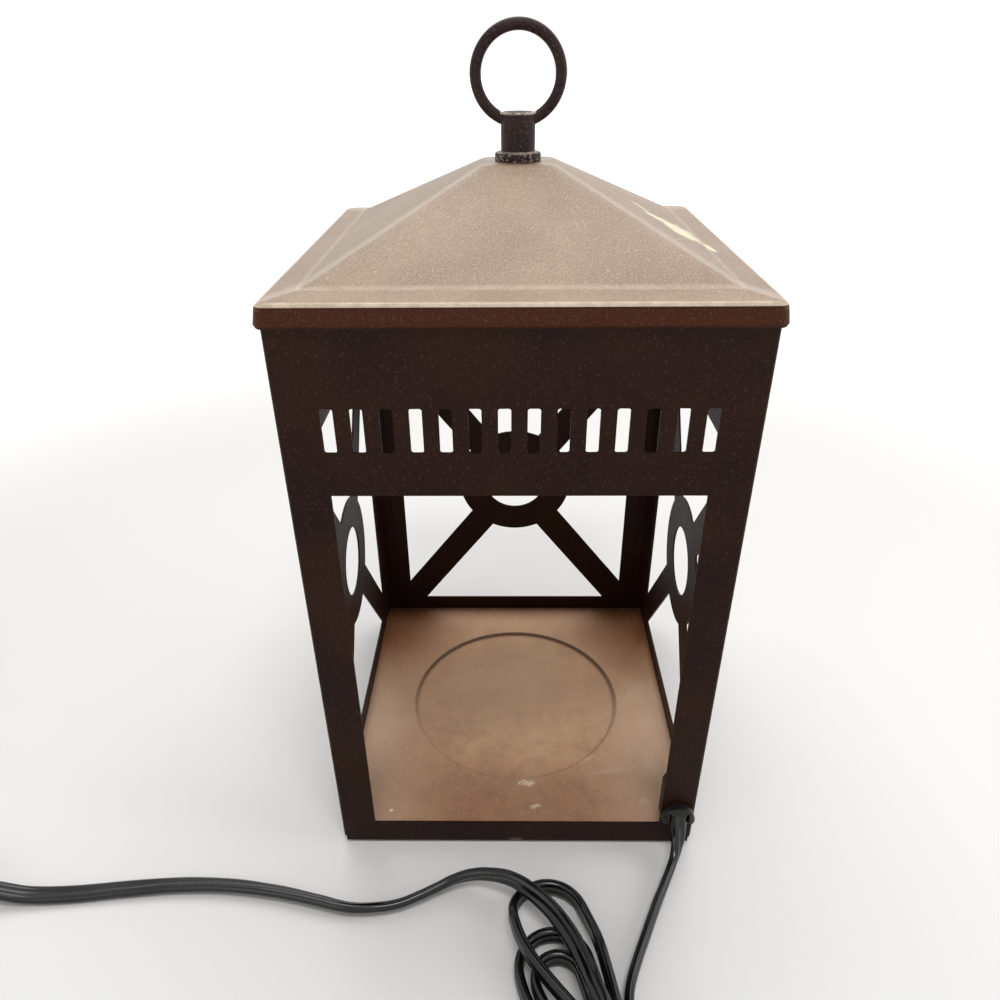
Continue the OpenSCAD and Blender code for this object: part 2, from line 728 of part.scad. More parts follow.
// Route of the lead inside: up the corner behind the right post, then under the
// roof towards the holder
inner_run = 38;
inner_rise = 22;
INNER_ROUTE = [
    [lead_x, lead_y, guard_z1], [lead_x, lead_y, window_top],
    for (p = [[0, -1], [0.05, -0.6], [0.21, -0.3], [0.47, -0.11], [0.76, 0.02], [1, 0.09]])
        [lead_x - p[0] * inner_run, lead_y + p[0] * inner_run, under_eave + p[1] * inner_rise]
];
INNER_WIDTH = [[0, 1, 0], [0, 1, 0], [0, 1, 0], [0.3, 1, 0.1], [0.7, 0.7, 0], [1, 1, 0]];
splice_at = INNER_ROUTE[len(INNER_ROUTE) - 1];
splice_l = 13;
splice_d = 6.4;
splice_out = unit([-1, 1, 0.15]);
splice_side = unit([1, 1, 0]) * (splice_d / 2 + 0.2);
wire_d = 2.4;

module along(way) {
    rotate([0, acos(way[2] / norm(way)), atan2(way[1], way[0])]) children();
}

module inner_lead() {
    color(PVC) tube(INNER_ROUTE, INNER_WIDTH, stadium(cord_t / 2, cord_w / 2));
}

module splice_caps() {
    color(CERAMIC) for (s = [-1, 1]) translate(splice_at + s * splice_side)
        along(splice_out) translate([0, 0, 0.3]) rotate_extrude($fn = 32)
            polygon([[0, 0], [splice_d / 2 - 0.4, 0], [splice_d / 2, 0.4],
                     [splice_d / 2, splice_l - 3], [splice_d / 2 - 0.9, splice_l],
                     [0, splice_l]]);
}

// The holder's two sleeved wires, from the splices into its side
module holder_leads() {
    start_d = splice_l + 0.6;
    entry_z = holder_z + holder_h - 3.4;
    entry_r = holder_d / 2 - 2 + 0.3;
    color("#d8d2c2") for (s = [-1, 1]) {
        start = splice_at + s * splice_side + splice_out * start_d;
        turn = 45 * (s < 0 ? 1.55 : 0.65);
        face = [cos(-turn), sin(-turn), 0];
        end = [0, 0, entry_z] + face * entry_r;
        tube([start, start + splice_out * 2.4, (start + splice_out * 2.4 + end + face * 4) / 2,
              end + face * 3, end],
             [[1, 1, 0]], circle_points(wire_d / 2, 8));
    }
}

// Tabs welded to the side wall that trap the lead in the corner
module lead_clips() {
    inner = lead_x - cord_t / 2 - bore_fit;
    rear = lead_y + cord_w / 2 + bore_fit;
    gap = window_top - guard_z1;
    color(BRONZE) for (f = [0.2, 0.55, 0.9])
        translate([0, 0, guard_z1 + f * gap]) linear_extrude(6) {
            translate([wall_in - clip_t, rear]) square([clip_t, 4]);
            translate([inner - clip_t, rear]) square([wall_in - inner + clip_t, clip_t]);
            translate([inner - clip_t, -lip_in + 0.1])
                square([clip_t, rear + lip_in - 0.1 + clip_t]);
        }
}

// Strain relief ------------------------------------------------------------

// The cover inside the post that grips the lead and takes the relief's neck
module lead_guard() {
    x1 = wall_in - bend_r;
    z0 = floor_z + 0.2;
    color(PVC) difference() {
        translate([0, -lip_in, 0]) rotate([90, 0, 0])
            translate([0, 0, -(guard_y1 + lip_in)]) linear_extrude(guard_y1 + lip_in)
                polygon([[guard_x0, z0], [x1, z0], [x1, guard_z1],
                         [guard_x0 + 2.4, guard_z1], [guard_x0 + 0.8, guard_z1 - 1.4],
                         [guard_x0, guard_z1 - 3.6]]);
        translate([relief_x, -lip_in - 1, relief_z]) rotate([-90, 0, 0])
            cylinder(d = relief_d + 2 * bore_fit, h = 7);
    }
}

// The arch of the hood, as a flat shape in X and Z
module arch(w, top, foot) {
    intersection() {
        translate([0, top - w / 2]) circle(d = w);
        translate([-w / 2, foot]) square([w, top - foot]);
    }
    translate([-w / 2, foot]) square([w, top - w / 2 - foot]);
}

module strain_relief() {
    top = relief_z + hood_w / 2;
    soft = 1.3;
    color(PVC) {
        difference() {
            hull() {
                translate([relief_x, -half_w - hood_out + soft, 0]) upright(hood_out - soft)
                    arch(hood_w, top, hood_foot);
                translate([relief_x, -half_w - hood_out, 0]) upright(soft)
                    arch(hood_w - 2 * soft, top - soft, hood_foot + soft * 0.5);
            }
            translate([relief_x, -half_w - hood_out - 1, 0])
                upright(hood_out + 0.5) translate([-cord_w / 2 - 0.4, hood_foot - 1])
                    square([cord_w + 0.8, exit_z - hood_foot + 1]);
        }
        translate([relief_x, -half_w - eps, relief_z]) rotate([-90, 0, 0])
            cylinder(d = relief_d, h = 2 * sheet + 5);
    }
}

// Cord ---------------------------------------------------------------------

CORD_OUTLINE = stadium(cord_t / 2, cord_w / 2);
hank_rings = hank_route(run_steps, arc_steps);

hank_from = unit(hank_rings[1] - hank_rings[0]);
hank_last = len(hank_rings) - 1;
hank_to = unit(hank_rings[hank_last] - hank_rings[hank_last - 1]);
lead_path = concat(
    [[relief_x, exit_y, exit_z], [relief_x, exit_y, exit_z - 4]], LEAD_ROUTE,
    [hank_rings[0] - 5 * hank_from, hank_rings[0]]);
tail_path = concat(
    [hank_rings[hank_last], hank_rings[hank_last] + 5 * hank_to], TAIL_ROUTE,
    [[switch_at[0] + switch_l / 2, switch_at[1], switch_h / 2]]);
end_path = concat(
    [[switch_at[0] - switch_l / 2, switch_at[1], switch_h / 2]], END_ROUTE,
    [[plug_at[0], plug_at[1], plug_axis_z]]);

module cord_lead() {
    color(PVC) tube(lead_path, LEAD_WIDTH, CORD_OUTLINE);
}

module cord_hank() {
    echo(least_gap = least_gap(refined(hank_rings, 4), 14),
         cord_length = length_of(lead_path) + length_of(hank_rings)
             + length_of(tail_path) + length_of(end_path));
    color(PVC) tube(hank_rings, [UP], hexagon(cord_t / 2, cord_w / 2));
}

// The wire tie round the waist, with its twisted ends
module cord_tie() {
    room = 0.3;
    t = 0.5;
    wide = WAIST_DOWN[0] - WAIST_UP[0] + cord_t + 4 * room;
    low = LAYER[0] + waist_lift - cord_w / 2 - room - t;
    top = LAYER[2] + waist_lift + cord_w / 2 + room;
    color(PVC) translate(hank_at) rotate(hank_turn)
        translate([(WAIST_DOWN[0] + WAIST_UP[0]) / 2, 1.75, 0]) rotate([90, 0, 0])
            linear_extrude(3.5) difference() {
                translate([0, (low + top + t) / 2])
                    rounded_square(wide + 2 * t, top + t - low, 1);
                translate([0, (low + t + top) / 2])
                    rounded_square(wide, top - low - t, 0.5);
            }
    color(PVC) translate(hank_at) rotate(hank_turn)
        translate([WAIST_DOWN[0] - 4, 0, top + t - 0.1]) rotate([0, 75, 20])
            cylinder(d = 2, h = 11);
}

module cord_tail() {
    color(PVC) tube(tail_path, leaning(tail_path, TAIL_LEAN), CORD_OUTLINE);
}

module cord_end() {
    color(PVC) tube(end_path, leaning(end_path, END_LEAN), CORD_OUTLINE);
}

// Switch -------------------------------------------------------------------

wheel_h = 5;
wheel_z = switch_h / 2;
pivot_d = 3;
wheel_room = 0.5;

module switch_plan() {
    waist = switch_w * 0.86;
    intersection() {
        rounded_square(switch_l, switch_w, 4);
        union() {
            square([switch_l * 0.56, switch_w + 1], center = true);
            rounded_square(switch_l, waist, 3);
        }
    }
}

module switch_cavity() {
    translate([0, 0, wheel_z - wheel_h / 2 - wheel_room])
        cylinder(d = wheel_d + 2 * wheel_room, h = wheel_h + 2 * wheel_room);
}

module switch_screw_holes() {
    for (x = [-1, 1]) translate([x * (switch_l / 2 - 9), 0, -1]) {
        cylinder(d = 2.6, h = switch_h - 1);
        cylinder(d = 5, h = 4.4);
    }
}

// The half that lies on the table and carries the wheel's pivot
module switch_base() {
    color(PVC) translate(switch_at) {
        difference() {
            union() {
                linear_extrude(1) rounded_square(switch_l - 2, switch_w * 0.86 - 2, 3);
                translate([0, 0, 1]) linear_extrude(wheel_z - 1) switch_plan();
            }
            switch_cavity();
            switch_screw_holes();
        }
        translate([0, 0, wheel_z - wheel_h / 2 - wheel_room - eps])
            cylinder(d = pivot_d, h = wheel_h + 2 * wheel_room - 0.3);
    }
}

module switch_cover() {
    color(PVC) translate(switch_at) difference() {
        union() {
            translate([0, 0, wheel_z]) linear_extrude(wheel_z - 1.4) switch_plan();
            translate([0, 0, switch_h - 1.4 - eps]) linear_extrude(1.4)
                rounded_square(switch_l - 2.4, switch_w * 0.86 - 2.4, 3);
        }
        switch_cavity();
        switch_screw_holes();
    }
}

module switch_wheel() {
    grips = 20;
    color("#2a2a2a") translate([switch_at[0], switch_at[1], wheel_z - wheel_h / 2])
        difference() {
            cylinder(d = wheel_d, h = wheel_h, $fn = 96);
            translate([0, 0, -1]) cylinder(d = pivot_d + 2 * bore_fit, h = wheel_h + 2);
            for (i = [0 : grips - 1]) rotate(360 * i / grips)
                translate([wheel_d / 2 + 0.5, 0, -1]) cylinder(d = 2, h = wheel_h + 2);
        }
}

module switch_screws() {
    color(STEEL) for (x = [-1, 1])
        translate([switch_at[0] + x * (switch_l / 2 - 9), switch_at[1], 1.6]) {
            difference() {
                cylinder(d = 4.4, h = 1.6);
                translate([-3, -0.35, -1]) cube([6, 0.7, 1.6]);
            }
            cylinder(d = 2, h = switch_h - 5);
        }
}

// Plug ---------------------------------------------------------------------

// Cross section of the plug's grip, in Y and Z
module plug_section(w, h) {
    rounded_square(w, h, h / 2 - 0.5);
}

module plug_body() {
    neck_l = 9;
    color(PVC) translate([plug_at[0], plug_at[1], plug_axis_z]) rotate([0, -90, 0])
        rotate(90) {
            hull() {
                linear_extrude(0.5) plug_section(cord_w + 1.2, cord_t + 2.4);
                translate([0, 0, neck_l]) linear_extrude(0.5)
                    plug_section(plug_w * 0.6, plug_h * 0.75);
            }
            hull() {
                translate([0, 0, neck_l]) linear_extrude(0.5)
                    plug_section(plug_w * 0.6, plug_h * 0.75);
                translate([0, 0, neck_l + 5]) linear_extrude(plug_l - neck_l - 7)
                    plug_section(plug_w * 0.86, plug_h);
            }
            translate([0, 0, plug_l - 3]) linear_extrude(3)
                plug_section(plug_w, plug_h);
        }
}

// Two flat blades, one wider than the other
module plug_blades() {
    color(BRASS) for (s = [-1, 1]) {
        wide = s < 0 ? 7.9 : 6.3;
        translate([plug_at[0] - plug_l, plug_at[1] + s * blade_pitch / 2,
                   plug_axis_z])
            rotate([90, 0, 0]) translate([0, 0, -0.75]) linear_extrude(1.5)
                difference() {
                    polygon([[0, -wide / 2], [0, wide / 2], [-blade_l + 2, wide / 2],
                             [-blade_l, wide / 2 - 2], [-blade_l, 2 - wide / 2],
                             [-blade_l + 2, -wide / 2]]);
                    translate([3.5 - blade_l, 0]) circle(d = 3, $fn = 24);
                }
    }
}

front_panel();
left_panel();
right_panel();
back_panel();
floor_plate();
foot(-1, -1);  // foot_front_left
foot(1, -1);  // foot_front_right
foot(-1, 1);  // foot_back_left
foot(1, 1);  // foot_back_right
roof();
finial_collar();
finial_ring();
finial_stud();
stud_nut();
lamp_bracket();
lamp_holder();
holder_screws();
lamp_reflector();
lamp_lens();
lamp_capsule();
lamp_cap();
lamp_pins();
holder_leads();
splice_caps();
inner_lead();
lead_clips();
lead_guard();
strain_relief();
cord_lead();
cord_hank();
cord_tie();
cord_tail();
cord_end();
switch_base();
switch_cover();
switch_wheel();
switch_screws();
plug_body();
plug_blades();
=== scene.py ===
"""Candle warmer lamp: the finish of every part, its flat black cord, and the studio."""
import json
import math

import bmesh
import bpy
from mathutils import Matrix, Vector


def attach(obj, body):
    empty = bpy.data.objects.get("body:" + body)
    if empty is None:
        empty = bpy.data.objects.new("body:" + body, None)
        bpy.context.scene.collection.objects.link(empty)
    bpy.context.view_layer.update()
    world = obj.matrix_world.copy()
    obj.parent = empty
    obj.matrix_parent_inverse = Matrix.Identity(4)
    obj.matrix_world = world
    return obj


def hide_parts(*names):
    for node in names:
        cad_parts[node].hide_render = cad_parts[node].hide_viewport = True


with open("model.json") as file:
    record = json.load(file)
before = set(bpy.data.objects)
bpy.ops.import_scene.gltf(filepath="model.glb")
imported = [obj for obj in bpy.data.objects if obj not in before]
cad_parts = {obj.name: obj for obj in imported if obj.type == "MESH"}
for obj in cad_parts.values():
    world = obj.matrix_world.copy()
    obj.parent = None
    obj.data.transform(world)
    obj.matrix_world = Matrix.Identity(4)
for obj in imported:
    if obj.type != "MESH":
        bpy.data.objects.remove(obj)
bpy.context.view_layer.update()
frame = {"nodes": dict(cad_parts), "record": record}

MM = 0.001
UP = Vector((0, 0, 1))
nodes = frame["nodes"]


# Camera ------------------------------------------------------------------

# The lens and the place come from the photograph's own edges
LENS_MM = 27.914
CAMERA_AT = Vector((-3.24, -289.25, 298.02)) * MM
CAMERA_RIGHT = Vector((0.99993, 0.00929, -0.00685))
CAMERA_UP = Vector((0.00120, 0.50668, 0.86213))


def make_camera():
    """The photograph's viewpoint: close to the lamp and above it, looking down."""
    data = bpy.data.cameras.new("camera")
    data.lens = LENS_MM
    data.sensor_width = 36
    data.clip_start = 0.01
    camera = bpy.data.objects.new("camera", data)
    bpy.context.scene.collection.objects.link(camera)
    right = CAMERA_RIGHT.normalized()
    back = right.cross(CAMERA_UP).normalized()
    up = back.cross(right)
    turn = Matrix((right, up, back)).transposed().to_4x4()
    camera.matrix_world = Matrix.Translation(CAMERA_AT) @ turn
    bpy.context.scene.camera = camera


# Helpers -----------------------------------------------------------------

def lerp(a, b, f):
    """From a to b, by a share from 0 to 1."""
    return a + (b - a) * f


def ease(f):
    """A share that starts and ends gently, held between 0 and 1."""
    f = min(1, max(0, f))
    return f * f * (3 - 2 * f)


def linear(hex_colour):
    """An sRGB hex colour as a linear colour with alpha."""
    parts = [int(hex_colour[i:i + 2], 16) / 255 for i in (1, 3, 5)]
    return tuple(p / 12.92 if p <= 0.04045 else ((p + 0.055) / 1.055) ** 2.4
                 for p in parts) + (1.0,)


def add_object(name, bm, material, body="lantern"):
    """Turns a bmesh into a piece that rides on a body."""
    mesh = bpy.data.meshes.new(name)
    bm.to_mesh(mesh)
    bm.free()
    piece = bpy.data.objects.new(name, mesh)
    bpy.context.scene.collection.objects.link(piece)
    mesh.materials.append(material)
    if body:
        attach(piece, body)
    return piece


def smooth(piece):
    """Shades a piece without facets."""
    for face in piece.data.polygons:
        face.use_smooth = True


# Materials ---------------------------------------------------------------

def add_node(tree, kind, inputs=None, stops=None, **settings):
    """Adds a node and gives back its first open output. An input is a value or
    another node's output; stops fill a colour ramp."""
    new = tree.nodes.new("ShaderNode" + kind)
    for name, value in settings.items():
        setattr(new, name, value)
    for name, value in (inputs or {}).items():
        if isinstance(value, bpy.types.NodeSocket):
            tree.links.new(value, new.inputs[name])
        else:
            new.inputs[name].default_value = value
    if stops:
        band = new.color_ramp.elements
        while len(band) < len(stops):
            band.new(1)
        for step, (at, colour) in zip(band, stops):
            step.position = at
            step.color = linear(colour)
    return next((output for output in new.outputs if output.enabled), None)


def start_material(name, **shader):
    """A material with its shader and output: it, its tree, the shader, and the place
    of each point on the piece."""
    material = bpy.data.materials.new(name)
    material.use_nodes = True
    tree = material.node_tree
    tree.nodes.clear()
    shine = add_node(tree, "BsdfPrincipled",
                     {key.replace("_", " "): value for key, value in shader.items()})
    add_node(tree, "OutputMaterial", {"Surface": shine})
    place = add_node(tree, "TexCoord").node.outputs["Object"]
    return material, tree, shine.node, place


def lead_to(surface, **patterns):
    """Links each pattern to the socket of the shader that it is named for."""
    for name, pattern in patterns.items():
        surface.id_data.links.new(pattern, surface.inputs[name.replace("_", " ")])


def per_mm(size):
    """The scale of a noise whose grains are so many millimetres wide."""
    return 1 / (size * MM)


def share(tree, *parts):
    """How much of a finish shows, from its parts multiplied together.

    A part is a number, a pattern, or (pattern, low, high), which runs smoothly from 0
    at low to 1 at high, or from and to the two numbers that follow.
    """
    total = None
    for part in parts:
        if isinstance(part, tuple):
            pattern, low, high, at_low, at_high = (part + (0, 1))[:5]
            part = add_node(tree, "MapRange",
                            {0: pattern, 1: low, 2: high, 3: at_low, 4: at_high},
                            interpolation_type="SMOOTHSTEP")
        if total is None:
            total = part
        else:
            total = add_node(tree, "Math", {0: total, 1: part}, operation="MULTIPLY")
    return total


def stain(tree, under, over, *parts):
    """Lays a colour over another, by the share that the parts give."""
    if isinstance(over, str):
        over = linear(over)
    return add_node(tree, "Mix", {0: share(tree, *parts), 6: under, 7: over},
                    data_type="RGBA")


def distance_from(tree, value, middle):
    """How far a coordinate is from a line, in metres."""
    off = add_node(tree, "Math", {0: value, 1: middle * MM}, operation="SUBTRACT")
    return add_node(tree, "Math", {0: off}, operation="ABSOLUTE")


def from_axis(tree, x, y):
    """How far a point is from the lamp's upright axis, in metres."""
    flat = add_node(tree, "CombineXYZ", {0: x, 1: y})
    return add_node(tree, "VectorMath", {0: flat}, operation="LENGTH")


def mark(tree, place, at, reach, turn=0, ragged=0.5, grain=1.5):
    """A worn or stained mark: 1 at its middle, 0 outside, broken at its edge.

    at is its middle and reach its half lengths, in millimetres; turn is in degrees.
    """
    moved = add_node(tree, "Mapping",
                     {"Vector": place, "Location": tuple(Vector(at) * MM),
                      "Rotation": (0, 0, math.radians(turn)),
                      "Scale": tuple(Vector(reach) * MM)}, vector_type="TEXTURE")
    away = add_node(tree, "VectorMath", {0: moved}, operation="LENGTH")
    rough = add_node(tree, "TexNoise",
                     {"Vector": place, "Scale": per_mm(grain), "Detail": 3.0})
    # the noise's middle is 0.5, so the limits move out by half of the most it adds
    swing = ragged * 2.4
    edge = add_node(tree, "Math", {0: rough, 1: swing, 2: away},
                    operation="MULTIPLY_ADD")
    return share(tree, (edge, 1 + swing / 2, 0.55 + swing / 2))


def powder_grain(tree, place, size, strength):
    """The orange peel of a baked powder coat, as a pattern and a bump. Its real
    ripples are about 0.5 mm wide, drawn coarser so that they show."""
    peel = add_node(tree, "TexNoise", {"Vector": place, "Scale": per_mm(size),
                                       "Detail": 2.0, "Roughness": 0.6})
    bump = add_node(tree, "Bump",
                    {"Strength": strength, "Distance": 0.1 * MM, "Height": peel})
    return peel, bump


def bronze_powder_coat():
    """Oil-rubbed bronze powder, sprayed and baked on steel sheet: near-black brown
    with a fine grain, a slow change of warmth and a soft sheen."""
    material, tree, surface, place = start_material(
        "bronze powder coat", IOR=1.5, Specular_IOR_Level=0.1)
    peel, bump = powder_grain(tree, place, 1.1, 0.35)
    warmth = add_node(tree, "TexNoise",
                      {"Vector": place, "Scale": per_mm(38), "Detail": 3.0})
    colour = add_node(tree, "ValToRGB", {0: warmth}, stops=[
        (0.38, "#1f0d0b"), (0.62, "#281408")])
    # bronze flakes of about 0.1 mm, drawn ten times coarser so that they show
    flakes = add_node(tree, "TexNoise",
                      {"Vector": place, "Scale": per_mm(1), "Detail": 1.0})
    colour = stain(tree, colour, "#5f3f2c", (flakes, 0.56, 0.8, 0, 0.3))
    # a chip at the foot of the front sill
    chip = mark(tree, place, (-0.3, -75.2, 2.2), (3.4, 3, 1.3), 0, 0.8, 1)
    colour = stain(tree, colour, "#8d7566", chip, 0.5)
    lead_to(surface, Base_Color=colour, Normal=bump,
            Roughness=share(tree, (peel, 0.3, 0.7, 0.36, 0.5)))
    return material


# Marks on the roof, read off the photograph: middle, half lengths, turn and strength
SCRAPES = [
    ((44, 3.6, 247.7), (5.5, 2.2, 60), -50, 0.7), ((49, -4, 245.3), (5.6, 5.6, 60), -30, 0.75),
    ((55.6, -7.5, 241.5), (8.4, 12, 60), 12, 0.85), ((61, -3, 239), (4.6, 12, 60), 6, 0.6),
    ((66, -13, 237), (1.5, 8, 60), 8, 0.85),
]
# The roof's ledge meets its slopes, and its skirt, so far from the middle
LEDGE_AT = 65.15
EAVE_AT = 75.2
SKIRT_FOOT = 228.9
SKIRT_TOP = 235.2


def faded_roof_coat_painted_sheen():
    """The same powder coat on the roof, faded by heat and dulled by dust where it faces up,
    and painted paler there for the sheen of the light from above: taupe on the slopes,
    brown on the skirt with painted shade at its edges, pale along its creases from rubbing
    and a painted highlight, greyer on the side faces for the light, with a cream scrape on the
    right face."""
    material, tree, surface, place = start_material("faded bronze roof coat with painted sheen", IOR=1.5)
    x, y, z = add_node(tree, "SeparateXYZ", {0: place}).node.outputs
    peel, bump = powder_grain(tree, place, 0.8, 0.45)
    facing = add_node(tree, "NewGeometry").node.outputs["Normal"]
    facing_up = add_node(tree, "SeparateXYZ", {0: facing}).node.outputs["Z"]
    up = share(tree, (facing_up, 0.25, 0.8))

    # painted sheen: the up-facing slopes are pale taupe, partly the coat faded by heat and dust,
    # partly the sheen of the light from above; the skirt stays brown
    cloud = add_node(tree, "TexNoise",
                     {"Vector": place, "Scale": per_mm(24), "Detail": 5.0})
    bleached_and_sheen = add_node(tree, "ValToRGB", {0: cloud}, stops=[
        (0.3, "#88715d"), (0.7, "#97806b")])
    colour = stain(tree, linear("#3e1d0d"), bleached_and_sheen, up)
    # grit under the coat: a fine pale and dark salt, and sparser, larger flakes; the
    # real grit is about 0.1 mm, drawn five to ten times coarser so that it shows
    salt = add_node(tree, "TexNoise",
                    {"Vector": place, "Scale": per_mm(0.55), "Detail": 3.0})
    flakes = add_node(tree, "TexNoise", {"Vector": place, "Scale": per_mm(1.1),
                                         "Detail": 3.0, "Roughness": 0.7})
    for grain, low, high, on_side, on_top, tint in (
            (salt, 0.52, 0.7, 0.05, 0.26, "#ccb9a0"), (salt, 0.48, 0.32, 0.2, 0.3, "#54402f"),
            (flakes, 0.62, 0.74, 0.05, 0.38, "#d8c7ae"), (flakes, 0.38, 0.28, 0, 0.4, "#5d4837")):
        colour = stain(tree, colour, tint, (grain, low, high), (up, 0, 1, on_side, on_top))

    # painted light: the side faces are greyer than the front, for the light falling on them, and
    # palest along the hips, a painted highlight
    across = distance_from(tree, x, 0)
    along = distance_from(tree, y, 0)
    from_hip = add_node(tree, "Math", {0: across, 1: along}, operation="SUBTRACT")
    painted_side_light = share(tree, (from_hip, 0, 0.6 * MM), up)
    colour = stain(tree, colour, "#857d77", painted_side_light, 0.22)
    colour = stain(tree, colour, "#d6cabf", painted_side_light, (from_hip, 11 * MM, 1 * MM), 0.3)
    # pale lines along the hips, the ledge's inner edge and the eave's rim: partly rubbed wear,
    # partly a painted highlight where the rounded creases catch light
    outward = add_node(tree, "Math", {0: across, 1: along}, operation="MAXIMUM")
    wear_and_highlight = add_node(tree, "TexNoise",
                    {"Vector": place, "Scale": per_mm(4), "Detail": 5.0})
    for value, at, reach, dimmest, strength in (
            (from_hip, 0, 1.4, 0.3, 0.18), (outward, LEDGE_AT - 0.4, 1.8, 0.6, 0.28),
            (outward, EAVE_AT - 0.4, 1.3, 0.6, 0.65)):
        off = distance_from(tree, value, at)
        colour = stain(tree, colour, "#d8c8b2", (off, reach * MM, 0.1 * MM, 0, strength),
                       up, (wear_and_highlight, 0.36, 0.64, dimmest, 1))
    # painted shade: the skirt darkens at its foot and under the eave's rim
    for low, high in ((SKIRT_FOOT + 1, SKIRT_FOOT), (SKIRT_TOP - 1.6, SKIRT_TOP)):
        colour = stain(tree, colour, "#22100a", (z, low * MM, high * MM, 0, 0.7),
                       (up, 0.4, 0))

    for at, reach, turn, strength in SCRAPES:
        scrape = mark(tree, place, at, reach, turn, 0.7, 4)
        colour = stain(tree, colour, "#e3d6b5", scrape, strength)
    lead_to(surface, Base_Color=colour, Normal=bump,
            Roughness=share(tree, (peel, 0.3, 0.7, 0.4, 0.56)),
            Specular_IOR_Level=share(tree, (up, 0, 1, 0.1, 0.45)))
    return material


# Marks on the floor plate: middle, half lengths, turn and strength
SCUFFS = [
    ((5.2, -52.8, 11.3), (4.4, 1.9, 3), 0, 0.6), ((8, -65, 11.3), (2.6, 1.3, 3), 20, 0.5),
    ((-54.7, -67.3, 11.3), (0.9, 0.9, 3), 0, 0.9), ((43, -46, 11.3), (15, 1.6, 3), 8, 0.12),
    ((33, -39, 10.5), (5, 1.4, 3), 30, 0.2), ((-18.8, 21.1, 9.8), (1.2, 0.9, 3), 0, 0.3),
    ((62, -40, 11.3), (4, 9, 3), 8, 0.1), ((56, -62, 11.3), (2.4, 2, 3), 0, 0.16),
]
SEAT_R = 50.2


def copper_floor_coat():
    """Satin copper-brown coat on the floor tray: clouded by heat and smudged where jars have
    stood, with a few pale scuffs near the front; painted light and shade: paler beside the seat
    and in its middle, darker towards the front, in the seat's groove and in the back corners."""
    material, tree, surface, place = start_material(
        "copper brown floor coat", IOR=1.5, Specular_IOR_Level=0.35)
    x, y = add_node(tree, "SeparateXYZ", {0: place}).node.outputs[:2]
    bump = powder_grain(tree, place, 1.6, 0.3)[1]
    cloud = add_node(tree, "TexNoise", {"Vector": place, "Scale": per_mm(34),
                                        "Detail": 6.0, "Roughness": 0.58,
                                        "Distortion": 0.3})
    colour = add_node(tree, "ValToRGB", {0: cloud}, stops=[
        (0.3, "#b88b69"), (0.5, "#c69a74"), (0.7, "#d1aa86")])
    # painted light and shade: paler beside the seat, where light falls in through the side
    # windows; darker towards the front, greyer there and browner in the front's middle
    across = distance_from(tree, x, 0)
    colour = stain(tree, colour, "#dab9a0", (across, 0.03, 0.07, 0, 0.5), (y, 0.03, -0.02))
    colour = stain(tree, colour, "#8a6a55", (y, -0.015, -0.06, 0, 0.4))
    colour = stain(tree, colour, "#8f5f42", (y, -0.035, -0.062), (across, 0.055, 0.02), 0.45)
    # smudges where jars have stood, over the seat's front half
    mottle = add_node(tree, "TexNoise", {"Vector": place, "Scale": per_mm(7),
                                         "Detail": 7.0, "Roughness": 0.68})
    colour = stain(tree, colour, "#7d5a46", (y, 0.012, -0.018), (across, 0.056, 0.03),
                   (mottle, 0.44, 0.66), 0.3)
    # painted shade: the back corners browner, joined along the back, and a dark painted shadow
    # along the back sill
    colour = stain(tree, colour, "#7c4520", (across, 0.026, 0.062), (y, -0.005, 0.05), 0.85)
    colour = stain(tree, colour, "#4a2814", (y, 0.058, 0.074, 0, 0.85))
    # painted light: paler in the seat's middle, under the lamp
    away = from_axis(tree, x, y)
    colour = stain(tree, colour, "#e6bf9b", (away, 0.048, 0.012, 0, 0.34))
    # painted shade in the seat's groove, fading out towards the front where the groove's wall
    # faces the light
    off = distance_from(tree, away, SEAT_R)
    colour = stain(tree, colour, "#43230f", (off, 1.3 * MM, 0.3 * MM),
                   (y, -0.034, 0.034, 0, 0.9))
    grit = add_node(tree, "TexNoise",
                    {"Vector": place, "Scale": per_mm(0.9), "Detail": 3.0})
    colour = stain(tree, colour, "#d3b594", (grit, 0.58, 0.76, 0, 0.35))
    colour = stain(tree, colour, "#6b4a34", (grit, 0.42, 0.26, 0, 0.35))
    for at, reach, turn, strength in SCUFFS:
        scuff = mark(tree, place, at, reach, turn, 1.1, 0.9)
        colour = stain(tree, colour, "#ecd8b8", scuff, strength)
    lead_to(surface, Base_Color=colour, Normal=bump,
            Roughness=share(tree, (cloud, 0.3, 0.7, 0.38, 0.54)))
    return material


STEM_TOP = 278.6
COLLAR_FOOT = 263.3


